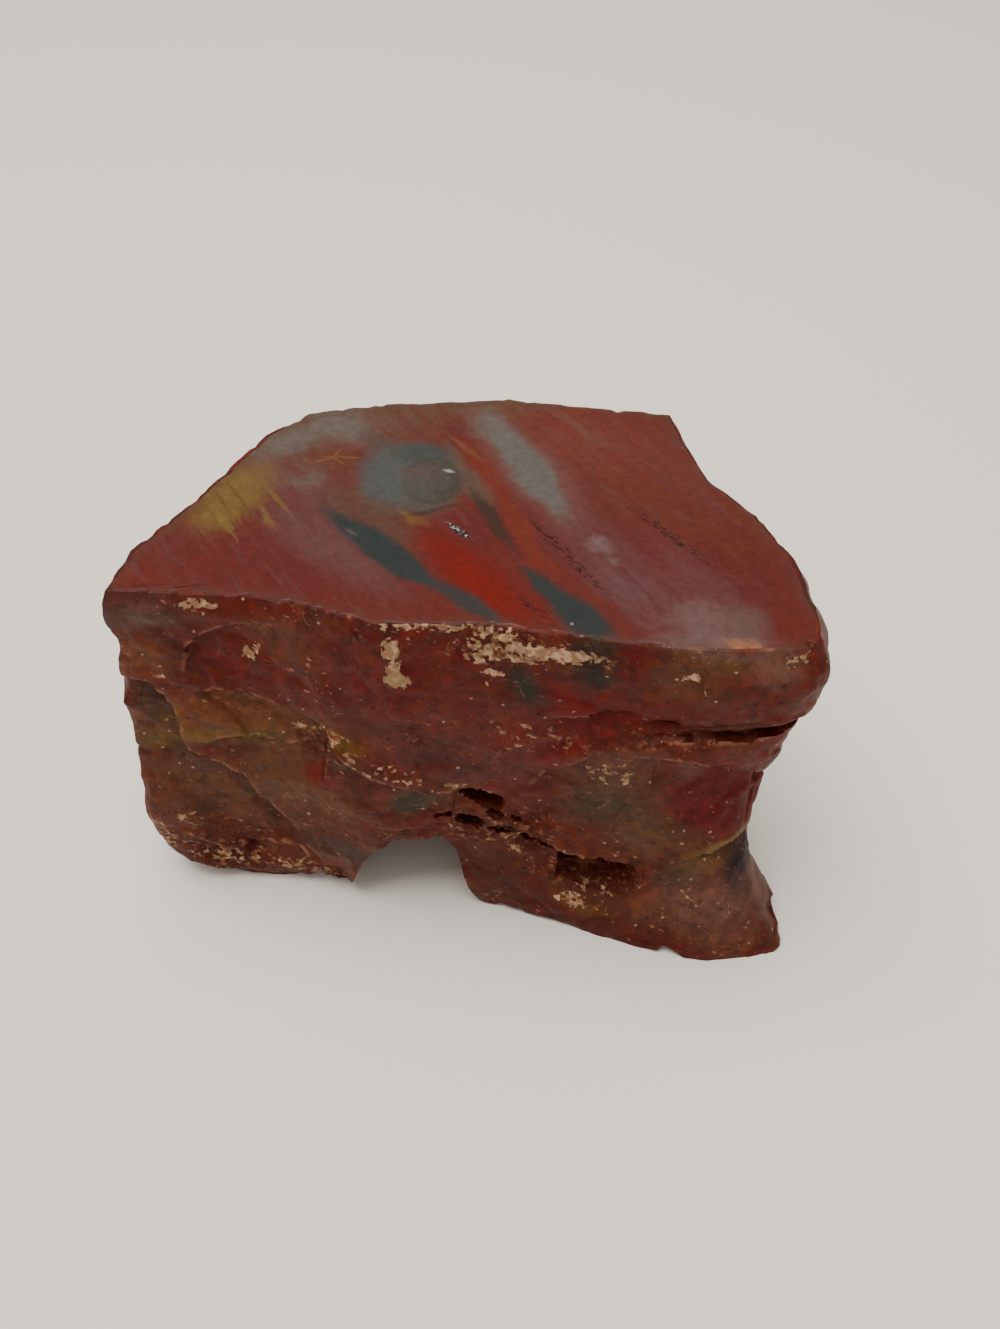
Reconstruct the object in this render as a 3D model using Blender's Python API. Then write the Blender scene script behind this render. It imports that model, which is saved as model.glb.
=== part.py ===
"""Petrified wood: a block of log turned to red jasper, sawn flat and polished on top, broken elsewhere.

The stone is one piece. Its walls are a loft that starts at the polished rim and goes down to the underside,
and each side of the block has its own upright profile. Flake scars and facets are pressed into the loft,
and the cracks and small holes of the front are cut with Booleans. Lengths are millimetres until the mesh
is written in metres.
"""

import math

import bmesh
import bpy
import numpy as np

MM = 0.001
NAME = "petrified_wood"

# Driving dimensions
TOP_HEIGHT = 94.0
CENTRING = (4.5, -1.8)
UNDERSIDE_MIDDLE = (0.0, 2.0)
FRONT_STEP = 1.35
HIDDEN_STEP = 2.6
WALL_ROWS = 58
UNDERSIDE_ROWS = 22
KEPT_SHARE = 0.27
FLATNESS = 0.15

# How far the surface near the rim and near the ground gives way to chips and scars, as shares of the way
# down and as a height
SOFTENED_BY = 0.33
CALM_AT_RIM = 0.12
FULL_CHIPS_BY = 0.11
CALM_AT_GROUND = 0.25
CALM_BELOW = 5.0

# The polished rim seen from above, anticlockwise from the front left corner, x to the right and y to the
# back
RIM = [
    (-69.0, -17.0), (-42.0, -18.7), (-31.5, -21.4), (-19.0, -25.7), (0.0, -26.0), (34.0, -31.4),
    (45.0, -32.4), (57.0, -31.9), (61.6, -29.5), (61.6, -22.0), (59.4, -8.5), (53.6, 4.5), (46.0, 13.8),
    (42.5, 25.0), (39.9, 35.7), (31.0, 36.8), (5.7, 41.2), (-22.0, 39.2), (-37.0, 35.9), (-44.3, 28.6),
    (-57.0, 6.9), (-66.0, -6.5),
]

# The corner at which the front ends, the first corner being where it starts
FRONT_CORNERS = 8

# How far each side stands out past the rim at a height, as (height, distance outwards)
LEFT_PROFILE = [(0, -3.0), (5, 4.0), (12, 7.0), (31, 9.0), (50, 7.4), (58, 7.4), (68, 4.6), (71, 5.0),
                (78, 2.4), (85, 2.8), (92, 1.4), (94, 0)]
RIGHT_PROFILE = [(0, 2.5), (6, 0.5), (14, -1.6), (26, -2.6), (38, -2.8), (51, -1.2), (62, 0.2),
                 (69, 1.2), (74, 2.2), (84, 3.2), (88, 2.8), (94, 0)]
RIGHT_FOOT_PROFILE = [(0, 8.0), (4, 6.5), (9, 4.2), (16, 2.0), (26, 0), (94, 0)]
BACK_PROFILE = [(0, -9.0), (12, -3.0), (30, 1.5), (52, 4.0), (74, 2.5), (94, 0)]
FRONT_LEFT_PROFILE = [(0, 0.5), (6, 2.6), (20, 3.4), (45, 2.2), (70, 1.6), (86, 1.2), (94, 0)]
FRONT_MIDDLE_PROFILE = [(0, -0.5), (14, 0.5), (26, 1.4), (50, 2.4), (74, 1.8), (88, 1.0), (94, 0)]
FRONT_RIGHT_PROFILE = [(0, 10.0), (5, 8.6), (14, 3.8), (26, -1.2), (40, -3.2), (52, -1.6), (60, 1.4),
                       (72, 1.8), (84, 2.4), (94, 0)]

# Where the three front profiles hold along x, where the foot's flare ends along y, and how the corners turn
FRONT_STATIONS = (-50.0, -5.0, 50.0)
FOOT_STATIONS = (-30.0, -19.0)
FRONT_BULGE = 1.0
FRONT_FADE = 13.0
CORNER_SPREAD = 1.35
CORNER_ROUNDING = 7.0

# Flake scars of the front as (name, path of x and height, drop, reach). The left hand of the path drops
SCARS = [
    ("left corner flake",
     [(-36.0, 12.0), (-40.0, 20.0), (-44.4, 29.0), (-48.2, 34.5), (-50.8, 41.0), (-56.0, 44.8),
      (-61.5, 48.5), (-62.6, 52.0), (-61.6, 58.0), (-64.2, 65.5), (-66.0, 69.3), (-80.0, 70.5)], 3.6, 18.0),
    ("upper left arc",
     [(-40.0, 85.5), (-44.3, 87.4), (-49.1, 86.1), (-54.1, 82.9), (-56.8, 79.6), (-57.8, 76.0),
      (-58.8, 70.0)], 1.7, 10.0),
    ("long left ridge",
     [(3.0, 43.5), (-4.7, 45.9), (-10.3, 45.8), (-16.7, 49.0), (-22.0, 50.2), (-27.3, 53.6),
      (-29.8, 59.0), (-34.6, 63.7), (-41.4, 66.3), (-46.7, 68.1), (-51.8, 68.7), (-56.4, 67.0),
      (-59.5, 62.5)], 2.3, 13.0),
    ("band ledge",
     [(-27.0, 51.5), (-33.9, 53.4), (-40.1, 52.6), (-46.5, 53.4), (-54.1, 53.0), (-61.5, 49.2)], 1.3, 8.0),
    ("right overhang",
     [(80.0, 76.5), (58.6, 75.4), (50.6, 74.8), (43.5, 73.8), (36.8, 73.2), (32.6, 73.2),
      (28.9, 75.5), (23.3, 74.5), (12.0, 72.0)], 2.2, 5.0),
    ("strip ledge",
     [(24.0, 65.0), (32.0, 67.2), (36.0, 68.2), (44.0, 68.9), (52.0, 69.6), (62.0, 70.4),
      (80.0, 71.5)], 2.6, 4.5),
    ("right scoop brow",
     [(80.0, 50.0), (62.0, 53.0), (56.5, 55.5), (52.3, 57.6), (46.5, 61.0), (41.6, 63.2), (35.6, 64.0),
      (28.0, 63.5)], 5.6, 15.0),
    ("foot brow",
     [(74.0, 36.0), (64.0, 31.5), (58.0, 30.0), (54.7, 29.5), (50.9, 27.0), (43.0, 25.0)], 2.6, 8.0),
    ("pocket ledge", [(38.0, 25.0), (31.0, 23.2), (24.0, 23.6), (18.0, 25.0), (6.0, 32.0)], 2.2, 9.0),
    ("middle slant", [(26.0, 67.0), (20.0, 60.0), (14.0, 55.0), (9.0, 47.0)], 1.2, 6.0),
    ("base scallop",
     [(-36.0, 6.0), (-41.5, 15.5), (-50.0, 14.5), (-57.0, 13.0), (-63.0, 15.0), (-74.0, 18.0)], 2.4, 6.0),
]
SCAR_STEP = 1.7
SCAR_ENDS = 9.0

# Facets of the broken faces as (size across, height, seed): large and small chips, and the swell below
# them. The front is calmer than the other sides by this share
LARGE_CHIPS = (30.0, 3.0, 5)
SMALL_CHIPS = (11.0, 1.1, 25)
SWELL = (24.0, 1.2, 45)
FRONT_CALM = 0.6

# Narrow cracks of the front as (path of x and height, half opening, depth)
CRACKS = [
    ([(17.4, 74.0), (23.3, 74.6), (28.9, 75.6), (32.6, 73.2), (36.8, 73.2), (43.5, 73.8), (50.6, 74.8),
      (58.6, 75.4)], 0.8, 4.0),
    ([(40.0, 69.4), (48.0, 69.8), (56.0, 70.6)], 0.5, 3.0),
]

# Small holes of the front as (x, height, half width, half height, lean in degrees, depth)
HOLES = [
    (-0.3, 42.0, 4.7, 2.5, -24, 7.0),
    (-2.4, 33.6, 3.4, 1.9, -18, 6.0),
    (5.0, 31.0, 3.8, 1.4, -8, 5.5),
    (19.4, 21.0, 2.4, 2.8, 0, 6.5),
    (29.6, 20.8, 2.7, 2.0, -12, 6.0),
    (25.0, 19.9, 8.6, 3.2, -4, 3.0),
]

# The underside: the arch in the front edge as (x, height) and how far back it goes, and the patches that
# touch the ground as (middle, radius)
ARCH_EDGE = [(-36.0, 0), (-33.0, 1.5), (-30.5, 5), (-27.5, 15), (-23.5, 22.5), (-16.0, 26.2), (-8.5, 26.6),
             (-5.4, 21), (-4.1, 14), (-3.0, 6), (-1.0, 1.2), (2.0, 0)]
ARCH_DEPTH = 27.0
ARCH_FRONT = -27.0
FEET = [((-50.0, -8.0), 11.0), ((30.0, -24.0), 12.0), ((52.0, -30.0), 9.0), ((8.0, -20.0), 6.0),
        ((-22.0, 22.0), 12.0), ((22.0, 16.0), 12.0)]
UNDERSIDE_RELIEF = 3.6
FOOT_FLAT_SHARE = 0.75
FOOT_FADE_SHARE = 0.5

# How far the cutters stand out of the front face, and how much of a hole's size its knobs take
CUTTER_PROUD = 3.0
HOLE_KNOBS = 0.18
FRONT_ENDS_Y = -10.0


def lattice(cell, seed):
    """A repeatable number from 0 to 1 for each whole-number cell, from its counts mixed and scrambled."""
    mixed = cell[..., 0] * 0x8DA6B343 + cell[..., 1] * 0xD8163841 + cell[..., 2] * 0xCB1AB31F
    mixed = (mixed + seed * 0x165667B1) & 0xFFFFFFFF
    mixed = mixed ^ (mixed >> 13)
    mixed = (mixed * 0x5BD1E995) & 0xFFFFFFFF
    mixed = mixed ^ (mixed >> 15)
    return mixed / 2.0**32


def swell(points, size, seed):
    """Smooth noise from -1 to 1 with lumps about size across: a cell's corner values, eased together."""
    scaled = points / size
    corner = np.floor(scaled).astype(np.int64)
    part = scaled - corner
    part = part * part * (3.0 - 2.0 * part)
    total = np.zeros(len(points))
    for step in np.ndindex(2, 2, 2):
        share = np.prod(np.where(np.array(step) == 1, part, 1.0 - part), axis=1)
        total += share * lattice(corner + np.array(step), seed)
    return 2.0 * total - 1.0


def facets(points, size, seed, crispness=30.0):
    """Flat chips about size across, each with its own tilt and level, blended where two of them meet."""
    scaled = points / size
    corner = np.floor(scaled).astype(np.int64)
    total = np.zeros(len(points))
    weight = np.zeros(len(points))
    for step in np.ndindex(3, 3, 3):
        cell = corner + np.array(step) - 1
        seat = cell + np.stack([lattice(cell, seed + k) for k in range(3)], axis=1)
        away = scaled - seat
        tilt = np.stack([lattice(cell, seed + 3 + k) for k in range(3)], axis=1) * 2.0 - 1.0
        level = lattice(cell, seed + 6) * 2.0 - 1.0
        share = np.exp(-crispness * np.sum(away * away, axis=1))
        total += share * (0.55 * level + np.sum(tilt * away, axis=1))
        weight += share
    return total / np.maximum(weight, 1e-12)


def eased(profile, at, window=5.0, step=0.5):
    """A profile of straight runs read at a height, with its corners eased over the window."""
    heights = np.arange(-2.0 * window, TOP_HEIGHT + 2.0 * window, step)
    runs = np.interp(heights, [p[0] for p in profile], [p[1] for p in profile])
    count = int(window / step)
    padded = np.pad(runs, count, mode="edge")
    smooth = np.convolve(padded, np.ones(count) / count, mode="same")[count:-count]
    return np.interp(at, heights, smooth)


def closed_rim():
    """Points along the rim, the same with rounded corners, and the outward directions there."""
    corners = np.array(RIM + RIM[:1])
    lengths = np.hypot(*np.diff(corners, axis=0).T)
    along = np.concatenate([[0.0], np.cumsum(lengths)])
    front_end = along[FRONT_CORNERS]
    front = np.linspace(0.0, front_end, round(front_end / FRONT_STEP), endpoint=False)
    hidden = np.linspace(front_end, along[-1], round((along[-1] - front_end) / HIDDEN_STEP), endpoint=False)
    at = np.concatenate([front, hidden])
    points = np.stack([np.interp(at, along, corners[:, k]) for k in range(2)], axis=1)
    ahead = (at[:, None] + np.linspace(-CORNER_ROUNDING, CORNER_ROUNDING, 15)) % along[-1]
    rounded = [np.interp(ahead, along, corners[:, k]).mean(axis=1) for k in range(2)]
    leg = np.searchsorted(along, ahead, side="right") - 1
    run = (corners[1:] - corners[:-1])[leg] / lengths[leg][..., None]
    outwards = np.stack([run[..., 1], -run[..., 0]], axis=-1).sum(axis=1)
    outwards = outwards / np.linalg.norm(outwards, axis=1)[:, None]
    return points, np.stack(rounded, axis=1), outwards


def underside(x, y):
    """Height of the underside: a rough floor, flat where it touches the ground, with the arch in front."""
    flat = np.stack([x, y, np.zeros_like(x)], axis=-1).reshape(-1, 3)
    rough = 0.5 + 0.5 * swell(flat, 17.0, 91) + 0.3 * facets(flat, 9.0, 92)
    relief = np.maximum(UNDERSIDE_RELIEF * rough.reshape(x.shape), 0.0)
    for (foot_x, foot_y), radius in FEET:
        away = np.hypot(x - foot_x, y - foot_y) / radius
        relief = relief * np.clip((away - FOOT_FLAT_SHARE) / FOOT_FADE_SHARE, 0.0, 1.0)
    inwards = np.clip((y - ARCH_FRONT) / ARCH_DEPTH, 0.0, 1.0)
    roof = np.interp(x, [p[0] for p in ARCH_EDGE], [p[1] for p in ARCH_EDGE])
    lumps = 0.12 * swell(flat, 8.0, 95).reshape(x.shape) * np.minimum(inwards * 4.0, 1.0)
    return np.maximum(relief, roof * np.sqrt(1.0 - inwards**2) * (1.0 + lumps))


def facing(component):
    """How far a profile counts, by the part of a column's outward direction that is along its axis."""
    return np.clip(component * CORNER_SPREAD, 0.0, 1.0)


def front_share(x, y):
    """How much a column belongs to the front: 1 there, fading over the start of both sides."""
    start, end = RIM[0], RIM[FRONT_CORNERS]
    behind = y - np.interp(x, [start[0], end[0]], [start[1], end[1]]) - FRONT_BULGE
    return np.clip(1.0 - behind / FRONT_FADE, 0.0, 1.0)


def scar_depth(x, z, path, drop, reach):
    """Depth of a flake scar: its drop left of the path, fading over the reach and to the path's ends."""
    nearest = np.full(x.shape, 1e9)
    side = np.zeros(x.shape)
    passed = np.zeros(x.shape)
    length = 0.0
    for (x0, z0), (x1, z1) in zip(path, path[1:]):
        run_x, run_z = x1 - x0, z1 - z0
        leg = math.hypot(run_x, run_z)
        share = np.clip(((x - x0) * run_x + (z - z0) * run_z) / leg**2, 0.0, 1.0)
        gap_x, gap_z = x - x0 - share * run_x, z - z0 - share * run_z
        gap = np.hypot(gap_x, gap_z)
        closer = gap < nearest
        nearest = np.where(closer, gap, nearest)
        side = np.where(closer, run_x * gap_z - run_z * gap_x, side)
        passed = np.where(closer, length + share * leg, passed)
        length += leg
    ends = np.clip(np.minimum(passed, length - passed) / SCAR_ENDS, 0.0, 1.0)
    step = np.clip(nearest / SCAR_STEP, 0.0, 1.0)
    return drop * ends * step * np.exp(-((nearest / reach) ** 2)) * (side > 0.0)


def chips(points):
    """How far the broken surface stands out at each point: chips of two sizes on a gentle swell."""
    size, height, seed = SWELL
    rise = height * swell(points, size, seed)
    for size, height, seed in (LARGE_CHIPS, SMALL_CHIPS):
        rise += height * facets(points, size, seed)
    return rise


def wall_grid():
    """The walls as a grid of points: each column falls from the rim to the underside along its profile.

    Chips stand out along the column's outward direction, scars go in from the front, and both fade towards
    the rim and the ground.
    """
    rim, rounded, outwards = closed_rim()
    down = np.linspace(0.0, 1.0, WALL_ROWS)[:, None]
    foot = underside(rim[:, 0], rim[:, 1])
    z = TOP_HEIGHT + (foot - TOP_HEIGHT)[None, :] * down
    softening = np.clip(down / SOFTENED_BY, 0.0, 1.0)
    rim_x, rim_y = (rim[:, k] + (rounded - rim)[:, k] * softening for k in range(2))
    left, right, back = (eased(p, z) for p in (LEFT_PROFILE, RIGHT_PROFILE, BACK_PROFILE))
    fronts = [eased(p, z) for p in (FRONT_LEFT_PROFILE, FRONT_MIDDLE_PROFILE, FRONT_RIGHT_PROFILE)]
    share = np.interp(rim[:, 0], FRONT_STATIONS, [0.0, 1.0, 2.0])[None, :]
    front = np.where(share < 1.0, fronts[0] + (fronts[1] - fronts[0]) * share,
                     fronts[1] + (fronts[2] - fronts[1]) * (share - 1.0))
    out_x, out_y = outwards[:, 0][None, :], outwards[:, 1][None, :]
    toe = eased(RIGHT_FOOT_PROFILE, z) * np.interp(rim_y, FOOT_STATIONS, [1.0, 0.0])
    x = rim_x + (right + toe) * facing(out_x) - left * facing(-out_x)
    y = rim_y + back * facing(out_y) - front * facing(-out_y)
    points = np.stack([x, y, z], axis=2)

    cut = np.zeros(x.shape)
    for _, path, drop, reach in SCARS:
        cut = np.maximum(cut, scar_depth(x, z, path, drop, reach))
    front_weight = front_share(rim[:, 0], rim[:, 1])[None, :]
    fading = np.clip(down / FULL_CHIPS_BY, CALM_AT_RIM, 1.0)
    fading = fading * np.clip(z / CALM_BELOW, CALM_AT_GROUND, 1.0)
    rise = chips(points.reshape(-1, 3)).reshape(x.shape) * (1.0 - FRONT_CALM * front_weight) * fading
    points[..., 0] += rise * out_x
    points[..., 1] += rise * out_y + cut * front_weight * fading
    return points


def underside_grid(edge, rows):
    """The underside as rings that shrink from the wall's lowest row towards the middle."""
    share = np.linspace(0.0, 1.0, rows + 1)[1:-1, None]
    x = edge[:, 0] + (UNDERSIDE_MIDDLE[0] - edge[:, 0]) * share
    y = edge[:, 1] + (UNDERSIDE_MIDDLE[1] - edge[:, 1]) * share
    return np.stack([x, y, underside(x, y)], axis=2)


def loft(rings, middle):
    """A closed mesh from rings of points: quads between the rings, a flat face on top and a fan below."""
    mesh = bmesh.new()
    grid = [[mesh.verts.new(point) for point in ring] for ring in rings]
    for upper, lower in zip(grid, grid[1:]):
        for k in range(len(upper)):
            mesh.faces.new((upper[k - 1], lower[k - 1], lower[k], upper[k]))
    mesh.faces.new(grid[0])
    centre = mesh.verts.new(middle)
    for k in range(len(grid[-1])):
        mesh.faces.new((grid[-1][k - 1], centre, grid[-1][k]))
    bmesh.ops.recalc_face_normals(mesh, faces=mesh.faces)
    return mesh


def object_of(mesh, name, collection):
    """Writes a bmesh to a new object of that name and frees it."""
    data = bpy.data.meshes.new(name)
    mesh.to_mesh(data)
    mesh.free()
    obj = bpy.data.objects.new(name, data)
    collection.objects.link(obj)
    return obj


def jasper():
    """Brick-red jasper with a waxy gloss."""
    material = bpy.data.materials.new("red_jasper")
    material.use_nodes = True
    shader = material.node_tree.nodes["Principled BSDF"]
    shader.inputs["Base Color"].default_value = (0.21, 0.042, 0.028, 1.0)
    shader.inputs["Roughness"].default_value = 0.42
    shader.inputs["Metallic"].default_value = 0.0
    return material


def stone(walls, collection):
    """The whole block, thinned to the triangles that its facets need, with its flat faces set true."""
    shift = np.array([*CENTRING, 0.0])
    rings = (np.concatenate([walls, underside_grid(walls[-1], UNDERSIDE_ROWS)]) + shift) * MM
    middle_height = underside(*(np.array([c]) for c in UNDERSIDE_MIDDLE))[0]
    middle = (np.array([*UNDERSIDE_MIDDLE, middle_height]) + shift) * MM
    full = object_of(loft(rings, middle), "full", collection)
    thin = full.modifiers.new("thin", "DECIMATE")
    thin.ratio = KEPT_SHARE
    mesh = bmesh.new()
    mesh.from_object(full, bpy.context.evaluated_depsgraph_get())
    bpy.data.objects.remove(full)
    for vert in mesh.verts:
        if vert.co.z < FLATNESS * MM:
            vert.co.z = 0.0
        if vert.co.z > (TOP_HEIGHT - FLATNESS) * MM:
            vert.co.z = TOP_HEIGHT * MM
    block = object_of(mesh, NAME, collection)
    block.data.materials.append(jasper())
    return block


def front_at(walls, x, z):
    """The y of the front face at a place on it, in the stone's own coordinates."""
    spots = walls[walls[..., 1] < FRONT_ENDS_Y]
    return spots[np.argmin(np.hypot(spots[:, 0] - x, spots[:, 2] - z)), 1]


def cutter_of(mesh, name, block, collection):
    """Makes a hidden cutter of a mesh in millimetres and takes it out of the block with a Boolean."""
    bmesh.ops.translate(mesh, verts=mesh.verts, vec=(*CENTRING, 0.0))
    bmesh.ops.scale(mesh, verts=mesh.verts, vec=(MM, MM, MM))
    bmesh.ops.recalc_face_normals(mesh, faces=mesh.faces)
    cutter = object_of(mesh, name, collection)
    cutter.hide_render = True
    cutter.display_type = "WIRE"
    cut = block.modifiers.new(name, "BOOLEAN")
    cut.operation = "DIFFERENCE"
    cut.solver = "EXACT"
    cut.object = cutter


def hole_mesh(walls, number, hole):
    """A knobbly egg sunk in the front face as deep as the hole."""
    x, z, half_width, half_height, lean, depth = hole
    turn = math.radians(lean)
    y = front_at(walls, x, z)
    mesh = bmesh.new()
    bmesh.ops.create_icosphere(mesh, subdivisions=2, radius=1.0)
    for vert in mesh.verts:
        knob = 1.0 + HOLE_KNOBS * swell(np.array([list(vert.co * 2.0)]) + 10.0 * number, 1.0, 70)[0]
        wide, deep, tall = vert.co.x * half_width * knob, vert.co.y * depth, vert.co.z * half_height * knob
        vert.co = (x + wide * math.cos(turn) - tall * math.sin(turn), y + deep,
                   z + wide * math.sin(turn) + tall * math.cos(turn))
    return mesh


def crack_mesh(walls, crack):
    """A wedge along the crack's path: open at the face, sharp inside, tapering to both ends."""
    path, half_opening, depth = crack
    mesh = bmesh.new()
    sections = []
    for number, (x, z) in enumerate(path):
        y = front_at(walls, x, z)
        fullness = math.sin(math.pi * (number + 0.35) / (len(path) - 0.3))
        mouth = half_opening * fullness * (1.0 + CUTTER_PROUD / depth)
        proud = y - CUTTER_PROUD
        corners = [(x, proud, z + mouth), (x, proud, z - mouth), (x, y + depth * fullness, z)]
        sections.append([mesh.verts.new(corner) for corner in corners])
    for near, far in zip(sections, sections[1:]):
        for k in range(3):
            mesh.faces.new((near[k - 1], near[k], far[k], far[k - 1]))
    mesh.faces.new(sections[0])
    mesh.faces.new(sections[-1])
    return mesh


def new_collection(name):
    """Makes a collection in the scene."""
    collection = bpy.data.collections.new(name)
    bpy.context.scene.collection.children.link(collection)
    return collection


def main():
    """Clears the scene, lofts the block and cuts its cracks and holes."""
    for obj in list(bpy.data.objects):
        bpy.data.objects.remove(obj)
    parts = new_collection(NAME)
    cutters = new_collection("cutters")
    walls = wall_grid()
    block = stone(walls, parts)
    for number, crack in enumerate(CRACKS):
        cutter_of(crack_mesh(walls, crack), f"crack_{number}", block, cutters)
    for number, hole in enumerate(HOLES):
        cutter_of(hole_mesh(walls, number, hole), f"hole_{number}", block, cutters)


main()
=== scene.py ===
"""Looks of the petrified wood: a block of log turned to red jasper, sawn flat and polished on top, broken elsewhere.

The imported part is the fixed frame. One fine surface stands for its solid. It has the part's own rim, side profiles,
flake scars, cracks and holes, with closer rows and columns, smaller chips, nicks along the rim and crumbly places.
Two materials cover it: polished jasper on the sawn top, and waxy broken jasper on everything else.
"""

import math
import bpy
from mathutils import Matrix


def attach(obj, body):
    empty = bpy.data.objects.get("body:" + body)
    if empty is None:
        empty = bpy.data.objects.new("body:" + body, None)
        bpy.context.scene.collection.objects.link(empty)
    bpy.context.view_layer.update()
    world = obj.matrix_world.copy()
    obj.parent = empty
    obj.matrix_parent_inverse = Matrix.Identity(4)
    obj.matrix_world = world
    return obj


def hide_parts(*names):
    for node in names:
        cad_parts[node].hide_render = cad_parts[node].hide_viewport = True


bl_info = {
    "name": "Petrified wood",
    "version": (1, 0, 0),
    "blender": (4, 5, 0),
    "location": "3D View > Sidebar > Petrified wood",
    "description": "Builds a block of petrified wood with a polished top, and the plain stage that it stands on",
    "category": "Add Mesh",
}

import bpy
import numpy as np

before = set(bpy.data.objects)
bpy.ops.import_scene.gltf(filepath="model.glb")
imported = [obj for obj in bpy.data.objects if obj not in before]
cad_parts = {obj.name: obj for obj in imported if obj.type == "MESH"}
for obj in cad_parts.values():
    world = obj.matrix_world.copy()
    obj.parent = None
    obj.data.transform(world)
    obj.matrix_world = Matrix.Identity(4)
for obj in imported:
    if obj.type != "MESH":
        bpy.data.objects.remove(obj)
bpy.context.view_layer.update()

MM = 0.001
NODE = "petrified_wood"
PIECE = "jasper_block"

# The block's own coordinates in millimetres, as in the part's source, and what moves them to the shared frame
CENTRING = (4.5, -1.8)
UNDERSIDE_MIDDLE = (0.0, 2.0)
RIM = [
    (-69, -17), (-42, -18.7), (-31.5, -21.4), (-19, -25.7), (0, -26), (34, -31.4), (45, -32.4), (57, -31.9),
    (61.6, -29.5), (61.6, -22), (59.4, -8.5), (53.6, 4.5), (46, 13.8), (42.5, 25), (39.9, 35.7), (31, 36.8),
    (5.7, 41.2), (-22, 39.2), (-37, 35.9), (-44.3, 28.6), (-57, 6.9), (-66, -6.5),
]
FRONT_CORNERS = 8

# How far each side stands out past the rim at a height, as (height, distance outwards)
LEFT_PROFILE = [(0, -3), (5, 4), (12, 7), (31, 9), (50, 7.4), (58, 7.4), (68, 4.6), (71, 5),
                (78, 2.4), (85, 2.8), (92, 1.4), (94, 0)]
RIGHT_PROFILE = [(0, 2.5), (6, 0.5), (14, -1.6), (26, -2.6), (38, -2.8), (51, -1.2), (62, 0.2), (69, 1.2),
                 (74, 2.2), (84, 3.2), (88, 2.8), (94, 0)]
RIGHT_FOOT_PROFILE = [(0, 8), (4, 6.5), (9, 4.2), (16, 2), (26, 0), (94, 0)]
BACK_PROFILE = [(0, -9), (12, -3), (30, 1.5), (52, 4), (74, 2.5), (94, 0)]
FRONT_PROFILES = [
    [(0, 0.5), (6, 2.6), (20, 3.4), (45, 2.2), (70, 1.6), (86, 1.2), (94, 0)],
    [(0, -0.5), (14, 0.5), (26, 1.4), (50, 2.4), (74, 1.8), (88, 1), (94, 0)],
    [(0, 10), (5, 8.6), (14, 3.8), (26, -1.2), (40, -3.2), (52, -1.6), (60, 1.4), (72, 1.8), (84, 2.4),
     (94, 0)],
]
FRONT_STATIONS = (-50, -5, 50)
FOOT_STATIONS = (-30, -19)
FRONT_BULGE = 1.0
FRONT_FADE = 13.0
CORNER_SPREAD = 1.35
CORNER_ROUNDING = 7.0

# Flake scars of the front as (path of x and height, drop, reach). The face drops on the path's left hand
SCARS = [
    ([(-36, 12), (-40, 20), (-44.4, 29), (-48.2, 34.5), (-50.8, 41), (-56, 44.8),
      (-61.5, 48.5), (-62.6, 52), (-61.6, 58), (-64.2, 65.5), (-66, 69.3), (-80, 70.5)], 3.6, 18),
    ([(-40, 85.5), (-44.3, 87.4), (-49.1, 86.1), (-54.1, 82.9), (-56.8, 79.6), (-57.8, 76),
      (-58.8, 70)], 1.7, 10),
    ([(3, 43.5), (-4.7, 45.9), (-10.3, 45.8), (-16.7, 49), (-22, 50.2), (-27.3, 53.6), (-29.8, 59),
      (-34.6, 63.7), (-41.4, 66.3), (-46.7, 68.1), (-51.8, 68.7), (-56.4, 67), (-59.5, 62.5)], 2.3, 13),
    ([(-27, 51.5), (-33.9, 53.4), (-40.1, 52.6), (-46.5, 53.4), (-54.1, 53), (-61.5, 49.2)], 1.3, 8),
    ([(80, 76.5), (58.6, 75.4), (50.6, 74.8), (43.5, 73.8), (36.8, 73.2), (32.6, 73.2), (28.9, 75.5),
      (23.3, 74.5), (12, 72)], 2.2, 5),
    ([(24, 65), (32, 67.2), (36, 68.2), (44, 68.9), (52, 69.6), (62, 70.4), (80, 71.5)],
     2.6, 4.5),
    ([(80, 50), (62, 53), (56.5, 55.5), (52.3, 57.6), (46.5, 61), (41.6, 63.2), (35.6, 64),
      (28, 63.5)], 5.6, 15),
    ([(74, 36), (64, 31.5), (58, 30), (54.7, 29.5), (50.9, 27), (43, 25)], 2.6, 8),
    ([(38, 25), (31, 23.2), (24, 23.6), (18, 25), (6, 32)], 2.2, 9),
    ([(26, 67), (20, 60), (14, 55), (9, 47)], 1.2, 6),
    ([(-36, 6), (-41.5, 15.5), (-50, 14.5), (-57, 13), (-63, 15), (-74, 18)], 2.4, 6),
]
SCAR_STEP = 0.7
RIM_BAND = 3.2
SCAR_ENDS = 9.0
# Faint ripples that follow a scar's edge: height, waves per millimetre in radians, and how far they reach
RIPPLE_HEIGHT, RIPPLE_PACE, RIPPLE_REACH = 0.05, 2.1, 7.0
CREST_WIDTH = 0.55
# The painted shade under a scar's edge fades over this width, and is full where the scar drops this deep
RECESS_SHADE_WIDTH = 2.4
RECESS_SHADE_FULL = 4.0

# Narrow cracks of the front as (path of x and height, half opening, depth)
CRACKS = [
    ([(17.4, 74), (23.3, 74.6), (28.9, 75.6), (32.6, 73.2), (36.8, 73.2), (43.5, 73.8), (50.6, 74.8),
      (58.6, 75.4), (66, 76.4)], 0.4, 3),
    ([(40, 69.4), (48, 69.8), (56, 70.6), (66, 71.4)], 0.3, 2),
]

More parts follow.
